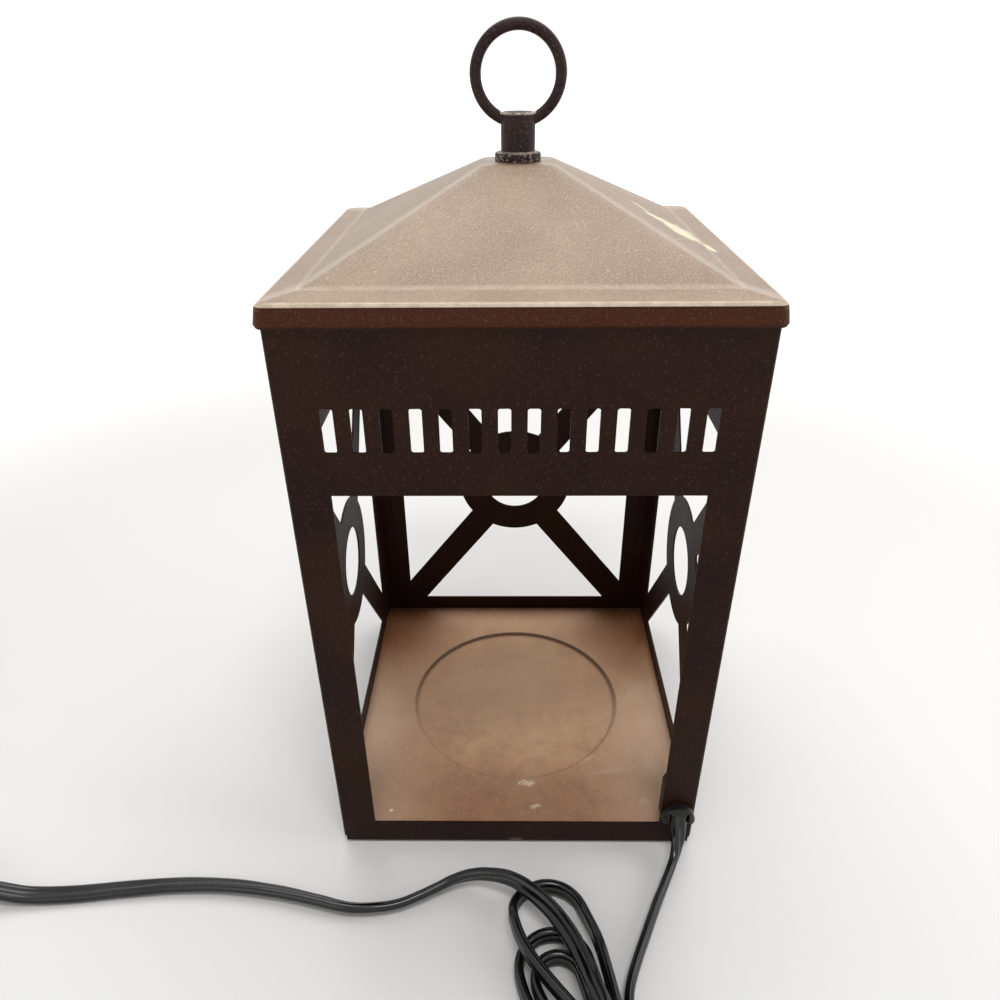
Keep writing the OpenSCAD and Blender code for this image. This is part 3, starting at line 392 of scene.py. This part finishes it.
def painted_iron():
    """Sand-cast iron painted near black: a gritty skin, pale where the paint has
    chipped off the collar and been rubbed off the stem's rim, with a painted highlight along the
    collar's upper edge."""
    material, tree, surface, place = start_material(
        "painted cast iron", IOR=1.5, Specular_IOR_Level=0.14)
    x, y, z = add_node(tree, "SeparateXYZ", {0: place}).node.outputs
    # the mould's sand is about 0.3 mm, drawn three times coarser so that it shows
    skin = add_node(tree, "TexNoise", {"Vector": place, "Scale": per_mm(0.9),
                                       "Detail": 4.0, "Roughness": 0.65})
    cloud = add_node(tree, "TexNoise",
                     {"Vector": place, "Scale": per_mm(7), "Detail": 2.0})
    colour = add_node(tree, "ValToRGB", {0: cloud}, stops=[
        (0.35, "#1d1212"), (0.65, "#2a1c19")])
    colour = stain(tree, colour, "#5a4740", (skin, 0.5, 0.72, 0, 0.6))
    # chips low on the collar, and a bare line at its foot
    chips = add_node(tree, "TexNoise", {"Vector": place, "Scale": per_mm(1.5),
                                        "Detail": 4.0, "Roughness": 0.7})
    colour = stain(tree, colour, "#b3a596",
                   (z, (COLLAR_FOOT + 3.6) * MM, (COLLAR_FOOT + 1.2) * MM),
                   (chips, 0.52, 0.6, 0, 0.75))
    colour = stain(tree, colour, "#e0cdb8",
                   (z, (COLLAR_FOOT + 0.5) * MM, (COLLAR_FOOT + 0.2) * MM), 0.8)
    # the stem's rim, rubbed bare
    radius = from_axis(tree, x, y)
    colour = stain(tree, colour, "#b8a898",
                   (z, (STEM_TOP - 0.9) * MM, (STEM_TOP - 0.3) * MM),
                   (z, (STEM_TOP + 0.6) * MM, (STEM_TOP + 0.2) * MM),
                   (radius, 4.6 * MM, 5.2 * MM), (radius, 6.3 * MM, 5.9 * MM),
                   (chips, 0.4, 0.55, 0.2, 0.9))
    # a painted highlight along the collar's upper edge, broken up by the chips
    colour = stain(tree, colour, "#c9b9a8",
                   (z, (COLLAR_FOOT + 2.6) * MM, (COLLAR_FOOT + 3) * MM),
                   (z, (COLLAR_FOOT + 3.5) * MM, (COLLAR_FOOT + 3.2) * MM),
                   (chips, 0.42, 0.58, 0.1, 0.8))
    bump = add_node(tree, "Bump",
                    {"Strength": 0.55, "Distance": 0.2 * MM, "Height": skin})
    lead_to(surface, Base_Color=colour, Normal=bump,
            Roughness=share(tree, (skin, 0.35, 0.7, 0.42, 0.62)))
    return material


def zinc_plate():
    """Bright zinc over rolled steel: cool grey with a faint drawn grain."""
    material, tree, surface, place = start_material("zinc plated steel", Metallic=1.0)
    drawn = add_node(tree, "Mapping", {"Vector": place, "Scale": (1, 12, 1)})
    grain = add_node(tree, "TexNoise",
                     {"Vector": drawn, "Scale": per_mm(6), "Detail": 5.0})
    colour = add_node(tree, "ValToRGB", {0: grain}, stops=[
        (0.3, "#9c9c98"), (0.7, "#bcbcb9")])
    lead_to(surface, Base_Color=colour,
            Roughness=share(tree, (grain, 0.3, 0.7, 0.28, 0.44)))
    return material


def glazed_steatite():
    """Pressed and glazed steatite: warm white, glassy, with a faint ripple."""
    material, tree, surface, place = start_material(
        "glazed steatite", IOR=1.52, Coat_Weight=0.4, Coat_Roughness=0.08)
    ripple = add_node(tree, "TexNoise",
                      {"Vector": place, "Scale": per_mm(9), "Detail": 3.0})
    colour = add_node(tree, "ValToRGB", {0: ripple}, stops=[
        (0.3, "#ddd6c6"), (0.7, "#ece6da")])
    bump = add_node(tree, "Bump",
                    {"Strength": 0.15, "Distance": 0.2 * MM, "Height": ripple})
    lead_to(surface, Base_Color=colour, Normal=bump,
            Roughness=share(tree, (ripple, 0.3, 0.7, 0.2, 0.32)))
    return material


def clear_glass():
    """Pressed clear glass, with the slight waviness of its mould."""
    material, tree, surface, place = start_material(
        "clear pressed glass", IOR=1.5, Roughness=0.04, Transmission_Weight=1.0)
    wave = add_node(tree, "TexNoise",
                    {"Vector": place, "Scale": per_mm(7), "Detail": 1.0})
    bump = add_node(tree, "Bump",
                    {"Strength": 0.2, "Distance": 0.2 * MM, "Height": wave})
    colour = add_node(tree, "ValToRGB", {0: wave}, stops=[
        (0.3, "#e9eef0"), (0.7, "#f5f8f8")])
    lead_to(surface, Base_Color=colour, Normal=bump)
    return material


def facetted_mirror():
    """Aluminium vapour on pressed glass: a mirror broken into small facets."""
    material, tree, surface, place = start_material("aluminised reflector", Metallic=1.0)
    facets = add_node(tree, "TexVoronoi", {"Vector": place, "Scale": per_mm(3.4),
                                           "Randomness": 0.35}, feature="SMOOTH_F1")
    bump = add_node(tree, "Bump",
                    {"Strength": 0.6, "Distance": 0.5 * MM, "Height": facets})
    colour = add_node(tree, "ValToRGB", {0: facets}, stops=[
        (0.0, "#dcdfe2"), (0.8, "#c3c7cb")])
    lead_to(surface, Base_Color=colour, Normal=bump,
            Roughness=share(tree, (facets, 0, 0.8, 0.06, 0.14)))
    return material


def stamped_brass():
    """Brass blanked and tumbled: warm yellow, with faint tarnish."""
    material, tree, surface, place = start_material("stamped brass", Metallic=1.0)
    tarnish = add_node(tree, "TexNoise",
                       {"Vector": place, "Scale": per_mm(3.5), "Detail": 4.0})
    colour = add_node(tree, "ValToRGB", {0: tarnish}, stops=[
        (0.35, "#a9813e"), (0.65, "#cfaa5f")])
    lead_to(surface, Base_Color=colour,
            Roughness=share(tree, (tarnish, 0.3, 0.7, 0.36, 0.22)))
    return material


def moulded_black_plastic():
    """Injection-moulded ABS with a spark-eroded skin: soft grey sheen on black. The
    skin's real pits are about 0.1 mm, drawn seven times coarser so that they show."""
    material, tree, surface, place = start_material(
        "black moulded ABS", IOR=1.5, Specular_IOR_Level=0.3)
    skin = add_node(tree, "TexNoise",
                    {"Vector": place, "Scale": per_mm(0.7), "Detail": 3.0})
    cloud = add_node(tree, "TexNoise",
                     {"Vector": place, "Scale": per_mm(11), "Detail": 2.0})
    colour = add_node(tree, "ValToRGB", {0: cloud}, stops=[
        (0.35, "#0e0d0c"), (0.65, "#171513")])
    bump = add_node(tree, "Bump",
                    {"Strength": 0.35, "Distance": 0.08 * MM, "Height": skin})
    lead_to(surface, Base_Color=colour, Normal=bump,
            Roughness=share(tree, (skin, 0.3, 0.7, 0.38, 0.52)))
    return material


def black_rubber():
    """Die-cut rubber foot: matt black, dusty at its edge."""
    material, tree, surface, place = start_material("black rubber", IOR=1.5)
    dust = add_node(tree, "TexNoise",
                    {"Vector": place, "Scale": per_mm(1.4), "Detail": 3.0})
    colour = add_node(tree, "ValToRGB", {0: dust}, stops=[
        (0.4, "#191918"), (0.75, "#2c2b29")])
    lead_to(surface, Base_Color=colour,
            Roughness=share(tree, (dust, 0.3, 0.7, 0.7, 0.85)))
    return material


def woven_sleeve():
    """Braided glass-fibre sleeve: cream, its strands 0.6 mm apart."""
    material, tree, surface, place = start_material(
        "glass-fibre sleeve", IOR=1.5, Roughness=0.75)
    strands = add_node(tree, "TexVoronoi",
                       {"Vector": place, "Scale": per_mm(0.6), "Randomness": 0.4})
    colour = add_node(tree, "ValToRGB", {0: strands}, stops=[
        (0.1, "#e4dcc6"), (0.7, "#b3a88c")])
    bump = add_node(tree, "Bump",
                    {"Strength": 0.5, "Distance": 0.2 * MM, "Height": strands})
    lead_to(surface, Base_Color=colour, Normal=bump)
    return material


def black_pvc():
    """Extruded flexible PVC: deep black with a wet-looking highlight, and a faint
    ripple and dust from handling."""
    material, tree, surface, place = start_material(
        "extruded black PVC", IOR=1.53, Specular_IOR_Level=0.4)
    dust = add_node(tree, "TexNoise",
                    {"Vector": place, "Scale": per_mm(16), "Detail": 4.0})
    ripple = add_node(tree, "TexNoise",
                      {"Vector": place, "Scale": per_mm(2.2), "Detail": 1.0})
    colour = add_node(tree, "ValToRGB", {0: dust}, stops=[
        (0.4, "#050506"), (0.7, "#0f0f10")])
    bump = add_node(tree, "Bump",
                    {"Strength": 0.12, "Distance": 0.1 * MM, "Height": ripple})
    lead_to(surface, Base_Color=colour, Normal=bump,
            Roughness=share(tree, (dust, 0.35, 0.7, 0.12, 0.26)))
    return material


# Cord --------------------------------------------------------------------

# The flat cord's width and thickness, in millimetres as its whole route is
CORD_W = 7.2
CORD_T = 3.6
CORD_STEP = 1.6
# Each conductor is round for so many degrees to either side of the cord's edge, and
# the grooves leave this share of the cord's thickness between them
CONDUCTOR_ARC = 118
GROOVE_LEAVES = 0.66
# The lead's points from the hood to the hank, each with the way that its width faces
LEAD_ROUTE = [
    ((67.2, -77.4, 23.6), (-1, 0, 0)), ((67.2, -77.4, 19.6), (-1, -0.15, 0)),
    ((67.5, -79.6, 12.6), (-0.78, -0.62, 0.1)), ((66.2, -83.9, 8), (-0.5, -0.8, 0.3)),
    ((63.7, -89, 5.4), (-0.2, -0.6, 0.8)), ((59.6, -96.6, 4.2), (0, -0.2, 1)),
    ((54.5, -106.1, 3.8), UP), ((49, -117.3, 3.8), UP), ((44.4, -126.7, 3.8), UP),
    ((40.9, -134.9, 3.8), UP), ((39.2, -141.7, 3.8), UP), ((39, -150, 4), UP),
]
# The tail from the hank to the switch, and how far its width leans back, in degrees
TAIL_ROUTE = [
    (28.8, -157.6, 20.2), (28.6, -150.6, 19.9), (26.1, -143.6, 19.2),
    (23.4, -134.5, 16.5), (20.4, -125.9, 14.4), (16.3, -118.2, 13.4),
    (11.3, -111.9, 13.7), (3.9, -105.3, 14.1), (-2.6, -100.7, 13.4), (-11, -97, 10.6),
    (-18.4, -95.7, 8.4), (-25.7, -96.3, 6.2), (-32.8, -99, 4.7), (-39.9, -102, 3.8),
    (-46.8, -104.8, 3.5), (-54.2, -106.3, 3.5), (-66.4, -106.7, 3.5),
    (-81.5, -103.3, 3.4), (-97.3, -99.9, 3.2), (-117.7, -97.2, 2.9),
    (-138.8, -96.9, 2.6), (-159.9, -98.6, 2.3), (-180, -100.8, 2.2), (-198, -102, 3.4),
    (-210, -102, 6.6), (-218, -102, 8), (-224, -102, 8),
]
TAIL_LEAN = [
    8, 18, 28, 36, 40, 40, 34, 20, 4, -10, -18, -25, -30, -33, -35, -36,
    -38, -43, -50, -60, -70, -80, -88, -90, -90, -90, -90,
]
# The end from the switch to the plug, and its lean
END_ROUTE = [
    (-276, -102, 8), (-282, -102, 8), (-291, -102.6, 6.6), (-302, -106, 4.6),
    (-311, -114, 3.9), (-316, -125, 3.8), (-316, -137, 3.8), (-311, -148, 3.8),
    (-301, -156.6, 3.8), (-287, -160, 3.8), (-267, -160, 3.8), (-247, -160, 3.8),
    (-229, -160, 3.8), (-214, -162.6, 3.8), (-202.6, -170.6, 3.8),
    (-196.6, -182, 3.8), (-198, -194, 3.8), (-206, -203.6, 4.2),
    (-217, -208.4, 5.6), (-226, -209, 6.8), (-231, -209, 7), (-236, -209, 7),
]
END_LEAN = [-90, -90, -70, -45, -20] + [0] * 12 + [-20, -45, -70, -90, -90]

# The hank's waist, how far the hank is turned, and the heights of its three layers
HANK_AT = (31, -169.6)
HANK_TURN = math.radians(15.8)
LAYER = (3.8, 11.7, 19.6)
# Where each run crosses the waist, on its way to the upper loops and back
WAIST_UP = (-7, -2.4, 1.4, -3.3)
WAIST_DOWN = (10.9, 6.6, 2.2, 7.8)
# The upper loops' two edges, reach, and how soon they widen; then the lower loops'
TOP_EDGE = ((-19.5, 7.2), (-14.6, 2.6), (-16.6, 11.8))
TOP_REACH = (55.6, 46.9, 74.4)
TOP_SPAN = (38, 38, 57)
LOW_SWELL = 10
LOW_REACH = (80, 75, 66, 76)
LOW_SPAN = 48
# How far the runs rise over the tie, how far from the waist, and how soon they sink
WAIST_LIFT = 0.7
LIFT_REACH = 5
LIFT_FADE = 9
# The last upper loop climbs over this length, from so far past its tip on the way out
# and so far before it on the way back
TOP_CLIMB = 26
CLIMB_PAST_TIP = 8
CLIMB_BEFORE_TIP = 10
# The third lower loop climbs from the waist over this length; the last climbs on its
# way back, over a length of its own and from so far before its tip
LOW_CLIMB = 40
LAST_CLIMB = 36
LAST_BEFORE_TIP = 16
RUN_STEPS = 12
ARC_STEPS = 16


def lift(along):
    """The runs rise a little at the waist, where the tie passes under them."""
    return WAIST_LIFT * (1 - ease((abs(along) - LIFT_REACH) / LIFT_FADE))


def top_height(turn, along, rising):
    """How high the cord's middle is on an upper loop: the last lies on the others."""
    if turn < 2:
        return lift(along) + LAYER[0]
    foot = TOP_REACH[2] + (CLIMB_PAST_TIP if rising else -CLIMB_BEFORE_TIP)
    climbed = ease((foot - along) / TOP_CLIMB)
    return lift(along) + lerp(LAYER[0], LAYER[1], climbed)


def low_height(turn, along, falling):
    """How high the cord's middle is on a lower loop: the last two lie on the others."""
    if turn < 2:
        level = LAYER[0]
    elif turn == 2 and falling:
        level = lerp(LAYER[0], LAYER[1], ease(-along / LOW_CLIMB))
    elif turn == 2 or falling:
        level = LAYER[1]
    else:
        foot = LAST_BEFORE_TIP - LOW_REACH[3]
        level = lerp(LAYER[1], LAYER[2], ease((along - foot) / LAST_CLIMB))
    return lift(along) + level


def loop_end(start, end, edges, span, reach, way, height_out, height_back):
    """A run out of the waist, a round end and a run back: (across, along, up)."""
    r = abs(edges[1] - edges[0]) / 2
    middle = sum(edges) / 2
    turn = 1 if edges[1] > edges[0] else -1
    foot = reach - r
    points = []
    for i in range(RUN_STEPS):
        y = foot * i / RUN_STEPS
        points.append((lerp(start, edges[0], ease(y / span)), way * y,
                       height_out(way * y)))
    for i in range(ARC_STEPS + 1):
        a = math.pi * i / ARC_STEPS
        y = way * (foot + r * math.sin(a))
        points.append((middle - turn * r * math.cos(a), y,
                       lerp(height_out(y), height_back(y), ease(i / ARC_STEPS))))
    for i in range(RUN_STEPS - 1, 0, -1):
        y = foot * i / RUN_STEPS
        points.append((lerp(end, edges[1], ease(y / span)), way * y,
                       height_back(way * y)))
    return points


def from_waist(across, along, height):
    """A point given from the hank's waist, across the hank and along it."""
    c, s = math.cos(HANK_TURN), math.sin(HANK_TURN)
    return Vector((HANK_AT[0] + across * c - along * s,
                   HANK_AT[1] + across * s + along * c, height))


def hank_points():
    """The hank's loops, drawn in at the waist, from the lead to the tail."""
    points = [(WAIST_DOWN[0] + 0.2, 4, LAYER[0] + WAIST_LIFT)]
    for k in range(4):
        points += loop_end(
            WAIST_DOWN[k], WAIST_UP[k],
            (WAIST_DOWN[k] + LOW_SWELL, WAIST_UP[k] - LOW_SWELL), LOW_SPAN,
            LOW_REACH[k], -1, lambda y: low_height(k, y, True),
            lambda y: low_height(k, y, False))
        if k < 3:
            points += loop_end(
                WAIST_UP[k], WAIST_DOWN[k + 1], TOP_EDGE[k], TOP_SPAN[k],
                TOP_REACH[k], 1, lambda y: top_height(k, y, True),
                lambda y: top_height(k, y, False))
    points.append((WAIST_UP[3], 0, LAYER[2] + WAIST_LIFT))
    return [from_waist(*point) for point in points]


def leaning(points, degrees):
    """Which way the flat cord's width points, where it leans back by so much."""
    widths = []
    for i, lean in enumerate(degrees):
        way = points[min(i + 1, len(points) - 1)] - points[max(i - 1, 0)]
        side = way.normalized().cross(UP)
        widths.append(UP * math.cos(math.radians(lean))
                      + side * math.sin(math.radians(lean)))
    return widths


def cord_route():
    """The whole cord's centre points and width directions, in millimetres."""
    lead = [Vector(p) for p, w in LEAD_ROUTE]
    lead_widths = [Vector(w) for p, w in LEAD_ROUTE]
    hank = hank_points()
    tail = [Vector(p) for p in TAIL_ROUTE]
    end = [Vector(p) for p in END_ROUTE]
    points = lead + hank + tail + end
    widths = (lead_widths + [UP] * len(hank) + leaning(tail, TAIL_LEAN)
              + leaning(end, END_LEAN))
    return points, widths


def smooth_route(points, widths, step):
    """A smooth curve through the points, and the width along it."""
    line, turned = [], []
    last = len(points) - 1
    for i in range(last):
        before, a, b, after = (points[max(i - 1, 0)], points[i], points[i + 1],
                               points[min(i + 2, last)])
        gap = (b - a).length
        leave = (b - before) * gap / max((b - a).length + (a - before).length, gap)
        arrive = (after - a) * gap / max((after - b).length + (b - a).length, gap)
        parts = max(1, round(gap / step))
        for j in range(parts):
            t = j / parts
            line.append((2 * t ** 3 - 3 * t ** 2 + 1) * a
                        + (t ** 3 - 2 * t ** 2 + t) * leave
                        + (3 * t ** 2 - 2 * t ** 3) * b + (t ** 3 - t ** 2) * arrive)
            turned.append(widths[i].lerp(widths[i + 1], ease(t)))
    return line + [points[last]], turned + [widths[last]]


def twin_outline(thick, wide, steps=11):
    """Two round conductors side by side, with a groove on each flat."""
    r = thick / 2
    centre = wide / 2 - r
    half = []
    for i in range(steps):
        a = math.radians(lerp(-CONDUCTOR_ARC, CONDUCTOR_ARC, i / (steps - 1)))
        half.append((r * math.sin(a), centre + r * math.cos(a)))
    groove = (r * GROOVE_LEAVES, 0)
    return half + [groove] + [(-x, -y) for x, y in half] + [(-groove[0], 0)]


def ring_outline(radius, count=16):
    """A round section."""
    return [(radius * math.cos(math.tau * i / count), radius * math.sin(math.tau * i / count))
            for i in range(count)]


def sweep(bm, points, widths, outline):
    """A solid with one outline all along a line, its flat side towards the widths."""
    ring_before = None
    for i, point in enumerate(points):
        way = (points[min(i + 1, len(points) - 1)] - points[max(i - 1, 0)]).normalized()
        wide = (widths[i] - widths[i].dot(way) * way).normalized()
        side = way.cross(wide)
        ring = [bm.verts.new((point + side * x + wide * y) * MM) for x, y in outline]
        if ring_before:
            for j in range(len(ring)):
                k = (j + 1) % len(ring)
                bm.faces.new((ring_before[j], ring[j], ring[k], ring_before[k]))
        else:
            bm.faces.new(ring)
        ring_before = ring
    bm.faces.new(list(reversed(ring_before)))
    bmesh.ops.recalc_face_normals(bm, faces=bm.faces[:])


def make_cord(pvc, tie):
    """The one long cord, in place of the CAD's four stretches of it."""
    points, widths = smooth_route(*cord_route(), CORD_STEP)
    bm = bmesh.new()
    sweep(bm, points, widths, twin_outline(CORD_T, CORD_W))
    cord = add_object("cord", bm, pvc)
    smooth(cord)
    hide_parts("cord_lead", "cord_hank", "cord_tail", "cord_end")


# The tie: how far its middle stands off the runs' sides and edges, the radius of its
# corners, and its section, a wire between two wings
TIE_BESIDE = 0.85
TIE_ABOVE = 0.55
TIE_BEND = 1.7
RIBBON = [
    (0, -1.75), (0.12, -1.6), (0.14, -0.5), (0.25, 0), (0.14, 0.5), (0.12, 1.6),
    (0, 1.75), (-0.12, 1.6), (-0.25, 0), (-0.12, -1.6),
]
# Its ends, twisted together: how long, a turn in how much, which way they point, how
# far inside the outer run and above the loop they start, how far each stands from
# their middle at first and spreads per mm, and the half sizes of each
TWIST_L = 11.4
TWIST_PITCH = 4.4
TWIST_ASIDE = math.radians(20)
TWIST_RISE = math.radians(15)
TWIST_INSIDE = 4
TWIST_ABOVE = 0.2
TWIST_R = 0.5
TWIST_SPREAD = 0.03
STRAND = (0.42, 0.3)
TWIST_STEPS = 44


def twist_ends(bm, start, out):
    """The ribbon's two ends, twisted together from start and pointing out."""
    one = out.cross(UP).normalized()
    two = out.cross(one)
    strand = [(STRAND[0] * x, STRAND[1] * y) for x, y in ring_outline(1, 10)]
    for phase in (0, math.pi):
        line, turned = [], []
        for i in range(TWIST_STEPS + 1):
            reach = TWIST_L * i / TWIST_STEPS
            a = phase + math.tau * reach / TWIST_PITCH
            aside = one * math.cos(a) + two * math.sin(a)
            line.append(start + out * reach + aside * (TWIST_R + TWIST_SPREAD * reach))
            turned.append(aside)
        sweep(bm, line, turned, strand)


def make_twist_tie(pvc):
    """A coated wire ribbon round the hank's waist, its ends twisted together."""
    middle = (WAIST_DOWN[0] + WAIST_UP[0]) / 2
    side = (WAIST_DOWN[0] - WAIST_UP[0] + CORD_T) / 2 + TIE_BESIDE - TIE_BEND
    low = LAYER[0] + WAIST_LIFT - CORD_W / 2 - TIE_ABOVE
    high = LAYER[2] + WAIST_LIFT + CORD_W / 2 + TIE_ABOVE
    corners = [(side, high - TIE_BEND), (-side, high - TIE_BEND),
               (-side, low + TIE_BEND), (side, low + TIE_BEND)]
    loop = []
    for quarter, (across, height) in enumerate(corners):
        for step in range(7):
            a = math.radians(90 * quarter + 15 * step)
            loop.append(from_waist(middle + across + TIE_BEND * math.cos(a), 0,
                                   height + TIE_BEND * math.sin(a)))
    loop.append(loop[0])
    origin = from_waist(0, 0, 0)
    along = from_waist(0, 1, 0) - origin
    bm = bmesh.new()
    points, widths = smooth_route(loop, [along] * len(loop), 1)
    sweep(bm, points, widths, RIBBON)

    start = from_waist(WAIST_DOWN[0] - TWIST_INSIDE, 0, high + TWIST_ABOVE)
    level = from_waist(math.cos(TWIST_ASIDE), math.sin(TWIST_ASIDE), 0) - origin
    twist_ends(bm, start, level * math.cos(TWIST_RISE) + UP * math.sin(TWIST_RISE))
    tie = add_object("twist_tie", bm, pvc)
    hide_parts("cord_tie")
    return tie


# The lead inside: its points, each with the way that its width faces
INNER_ROUTE = [
    ((71.9, -69.3, 34.1), (0, 1, 0)), ((71.9, -69.3, 173.5), (0, 1, 0)),
    ((71.9, -69.3, 212.8), (0, 1, 0)), ((70, -67.4, 221.6), (0.3, 1, 0.1)),
    ((63.92, -61.32, 228.2), (0.7, 0.7, 0)), ((54.04, -51.44, 232.38), (1, 1, 0)),
    ((43.02, -40.42, 235.24), (1, 1, 0)), ((33.9, -31.3, 236.78), (1, 1, 0)),
]


def make_inner_lead(pvc):
    """The fixed stretch of cord up the right front corner, clipped to the sheet."""
    points, widths = smooth_route([Vector(p) for p, w in INNER_ROUTE],
                                  [Vector(w).normalized() for p, w in INNER_ROUTE], CORD_STEP)
    bm = bmesh.new()
    sweep(bm, points, widths, twin_outline(CORD_T, CORD_W))
    lead = add_object("inner_lead_twin", bm, pvc)
    smooth(lead)
    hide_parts("inner_lead")


# The ceramic splices: the middle of their mouths, how far each lies to one side, which
# way they point and how long they are
SPLICE_AT = Vector((33.9, -31.3, 236.78))
SPLICE_APART = Vector((2.404, 2.404, 0))
SPLICE_OUT = Vector((-0.7032, 0.7032, 0.1055))
SPLICE_L = 13.6
# Where the wires enter the holder: the two directions, in degrees, distance and height
ENTRY_TURNS = (69.75, 29.25)
ENTRY_R = 12.3
ENTRY_Z = 245.1
# How far the wires run straight, out of the splices and into the holder, and how far
# they bow out between
SPLICE_RUN = 2.4
ENTRY_RUN = 3
WIRE_BOW = 2
SLEEVE_R = 1.2
SLEEVE_STEP = 0.6


def make_holder_leads(sleeve):
    """Two sleeved wires from the ceramic splices into the holder's side."""
    bm = bmesh.new()
    for side, turn in zip((-1, 1), ENTRY_TURNS):
        start = SPLICE_AT + SPLICE_APART * side + SPLICE_OUT * SPLICE_L
        face = Vector((math.cos(math.radians(turn)), -math.sin(math.radians(turn)), 0))
        end = face * ENTRY_R + UP * ENTRY_Z
        leave = start + SPLICE_OUT * SPLICE_RUN
        bow = (leave + end + face * 2 * WIRE_BOW) / 2
        route = [start, leave, bow, end + face * ENTRY_RUN, end]
        points, widths = smooth_route(route, [UP] * len(route), SLEEVE_STEP)
        sweep(bm, points, widths, ring_outline(SLEEVE_R))
    leads = add_object("sleeved_wires", bm, sleeve)
    smooth(leads)
    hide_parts("holder_leads")


# Studio ------------------------------------------------------------------

FLOOR_R = 9
# How far from the lamp the paper starts to glow, and where it is full white
GLOW_FROM = 0.35
GLOW_FULL = 1.1
# Each soft light: its place, what it points at, its two sides and its power
SOFT_LIGHTS = {
    "overhead": ((0.05, 0.5, 1.25), (0, 0, 0.15), (1.3, 0.9), 11),
    "over the cord": ((0.05, -0.42, 1.15), (0, -0.1, 0.05), (0.4, 0.22), 4),
    "front left": ((-0.9, -0.9, 0.8), (0, 0, 0.12), (0.7, 0.7), 2),
    "right": ((1.1, -0.1, 0.7), (0, 0, 0.12), (0.5, 0.8), 3),
}
WORLD_LIGHT = 0.36


def paper_floor():
    """Matt white paper under the lamp. Further out it glows as white as the
    background, so that no horizon shows."""
    material, tree, surface, place = start_material(
        "studio paper", Base_Color=linear("#e9e8e5"), Roughness=0.9,
        Emission_Color=(1.0, 1.0, 1.0, 1.0))
    away = add_node(tree, "VectorMath", {0: place}, operation="LENGTH")
    lead_to(surface, Emission_Strength=share(tree, (away, GLOW_FROM, GLOW_FULL)))
    return material


def make_floor():
    """A disc of paper, wide enough that its rim is never seen."""
    bm = bmesh.new()
    bmesh.ops.create_circle(bm, cap_ends=True, segments=96, radius=FLOOR_R)
    add_object("floor", bm, paper_floor(), body=None)


def make_lights():
    """The soft lights, each turned to what it points at."""
    for name, (at, aim, size, power) in SOFT_LIGHTS.items():
        data = bpy.data.lights.new(name, "AREA")
        data.shape = "RECTANGLE"
        data.size, data.size_y = size
        data.energy = power
        light = bpy.data.objects.new(name, data)
        bpy.context.scene.collection.objects.link(light)
        way = Vector(aim) - Vector(at)
        light.rotation_euler = way.to_track_quat("-Z", "Y").to_euler()
        light.location = at


def make_world():
    """White to the camera and to mirrors and glass, dimmer as a light."""
    world = bpy.data.worlds.new("world")
    bpy.context.scene.world = world
    world.use_nodes = True
    tree = world.node_tree
    rays = add_node(tree, "LightPath").node.outputs
    seen = rays["Is Camera Ray"]
    for ray in ("Is Glossy Ray", "Is Transmission Ray"):
        seen = add_node(tree, "Math", {0: seen, 1: rays[ray]}, operation="MAXIMUM")
    glow = tree.nodes["Background"].inputs
    glow["Color"].default_value = (1, 1, 1, 1)
    tree.links.new(share(tree, (seen, 0, 1, WORLD_LIGHT, 1)), glow["Strength"])


# Finishes ----------------------------------------------------------------

def make_finishes():
    """The material of every slot that the record names."""
    return {
        "body_coat": bronze_powder_coat(), "roof_coat": faded_roof_coat_painted_sheen(),
        "floor_coat": copper_floor_coat(), "finial_iron": painted_iron(),
        "steel": zinc_plate(), "ceramic": glazed_steatite(),
        "pin_brass": stamped_brass(), "black_plastic": moulded_black_plastic(),
        "foot_rubber": black_rubber(), "cord_pvc": black_pvc(),
        "sleeve": woven_sleeve(), "lamp_glass": clear_glass(),
        "lamp_mirror": facetted_mirror(),
    }


def dress_nodes(finishes):
    """Gives every CAD node the finish of its slot."""
    slots = {part["node"]: part["material_slot"] for part in frame["record"]["subparts"]}
    for name, piece in nodes.items():
        for material_slot in piece.material_slots:
            material_slot.material = finishes[slots[name]]


# How far each sheet or moulding is rounded along its edges, in millimetres
EDGE_ROUNDS = {
    "roof": 0.7, "finial_collar": 0.4, "strain_relief": 0.3, "lead_guard": 0.4,
    "lamp_holder": 0.4, "lamp_cap": 0.3, "switch_base": 0.3, "switch_cover": 0.4,
    "plug_body": 0.3, "plug_blades": 0.15,
}
# Points this close are one, and edges that turn by more degrees than this are rounded
WELD_GAP = 0.01
SHARP_FROM = 24


def soften_edges():
    """Rounds the CAD's sharp edges a little, as pressing and moulding do."""
    for name, width in EDGE_ROUNDS.items():
        piece = nodes[name]
        weld = piece.modifiers.new("weld", "WELD")
        weld.merge_threshold = WELD_GAP * MM
        rounded = piece.modifiers.new("round", "BEVEL")
        rounded.width = width * MM
        rounded.segments = 2
        rounded.limit_method = "ANGLE"
        rounded.angle_limit = math.radians(SHARP_FROM)
        rounded.harden_normals = True


# The camera and the cords come first
bpy.context.scene.view_settings.view_transform = "Standard"
make_camera()
finishes = make_finishes()
make_cord(finishes["cord_pvc"], make_twist_tie(finishes["cord_pvc"]))
make_inner_lead(finishes["cord_pvc"])
make_holder_leads(finishes["sleeve"])
dress_nodes(finishes)
soften_edges()
make_floor()
make_lights()
make_world()
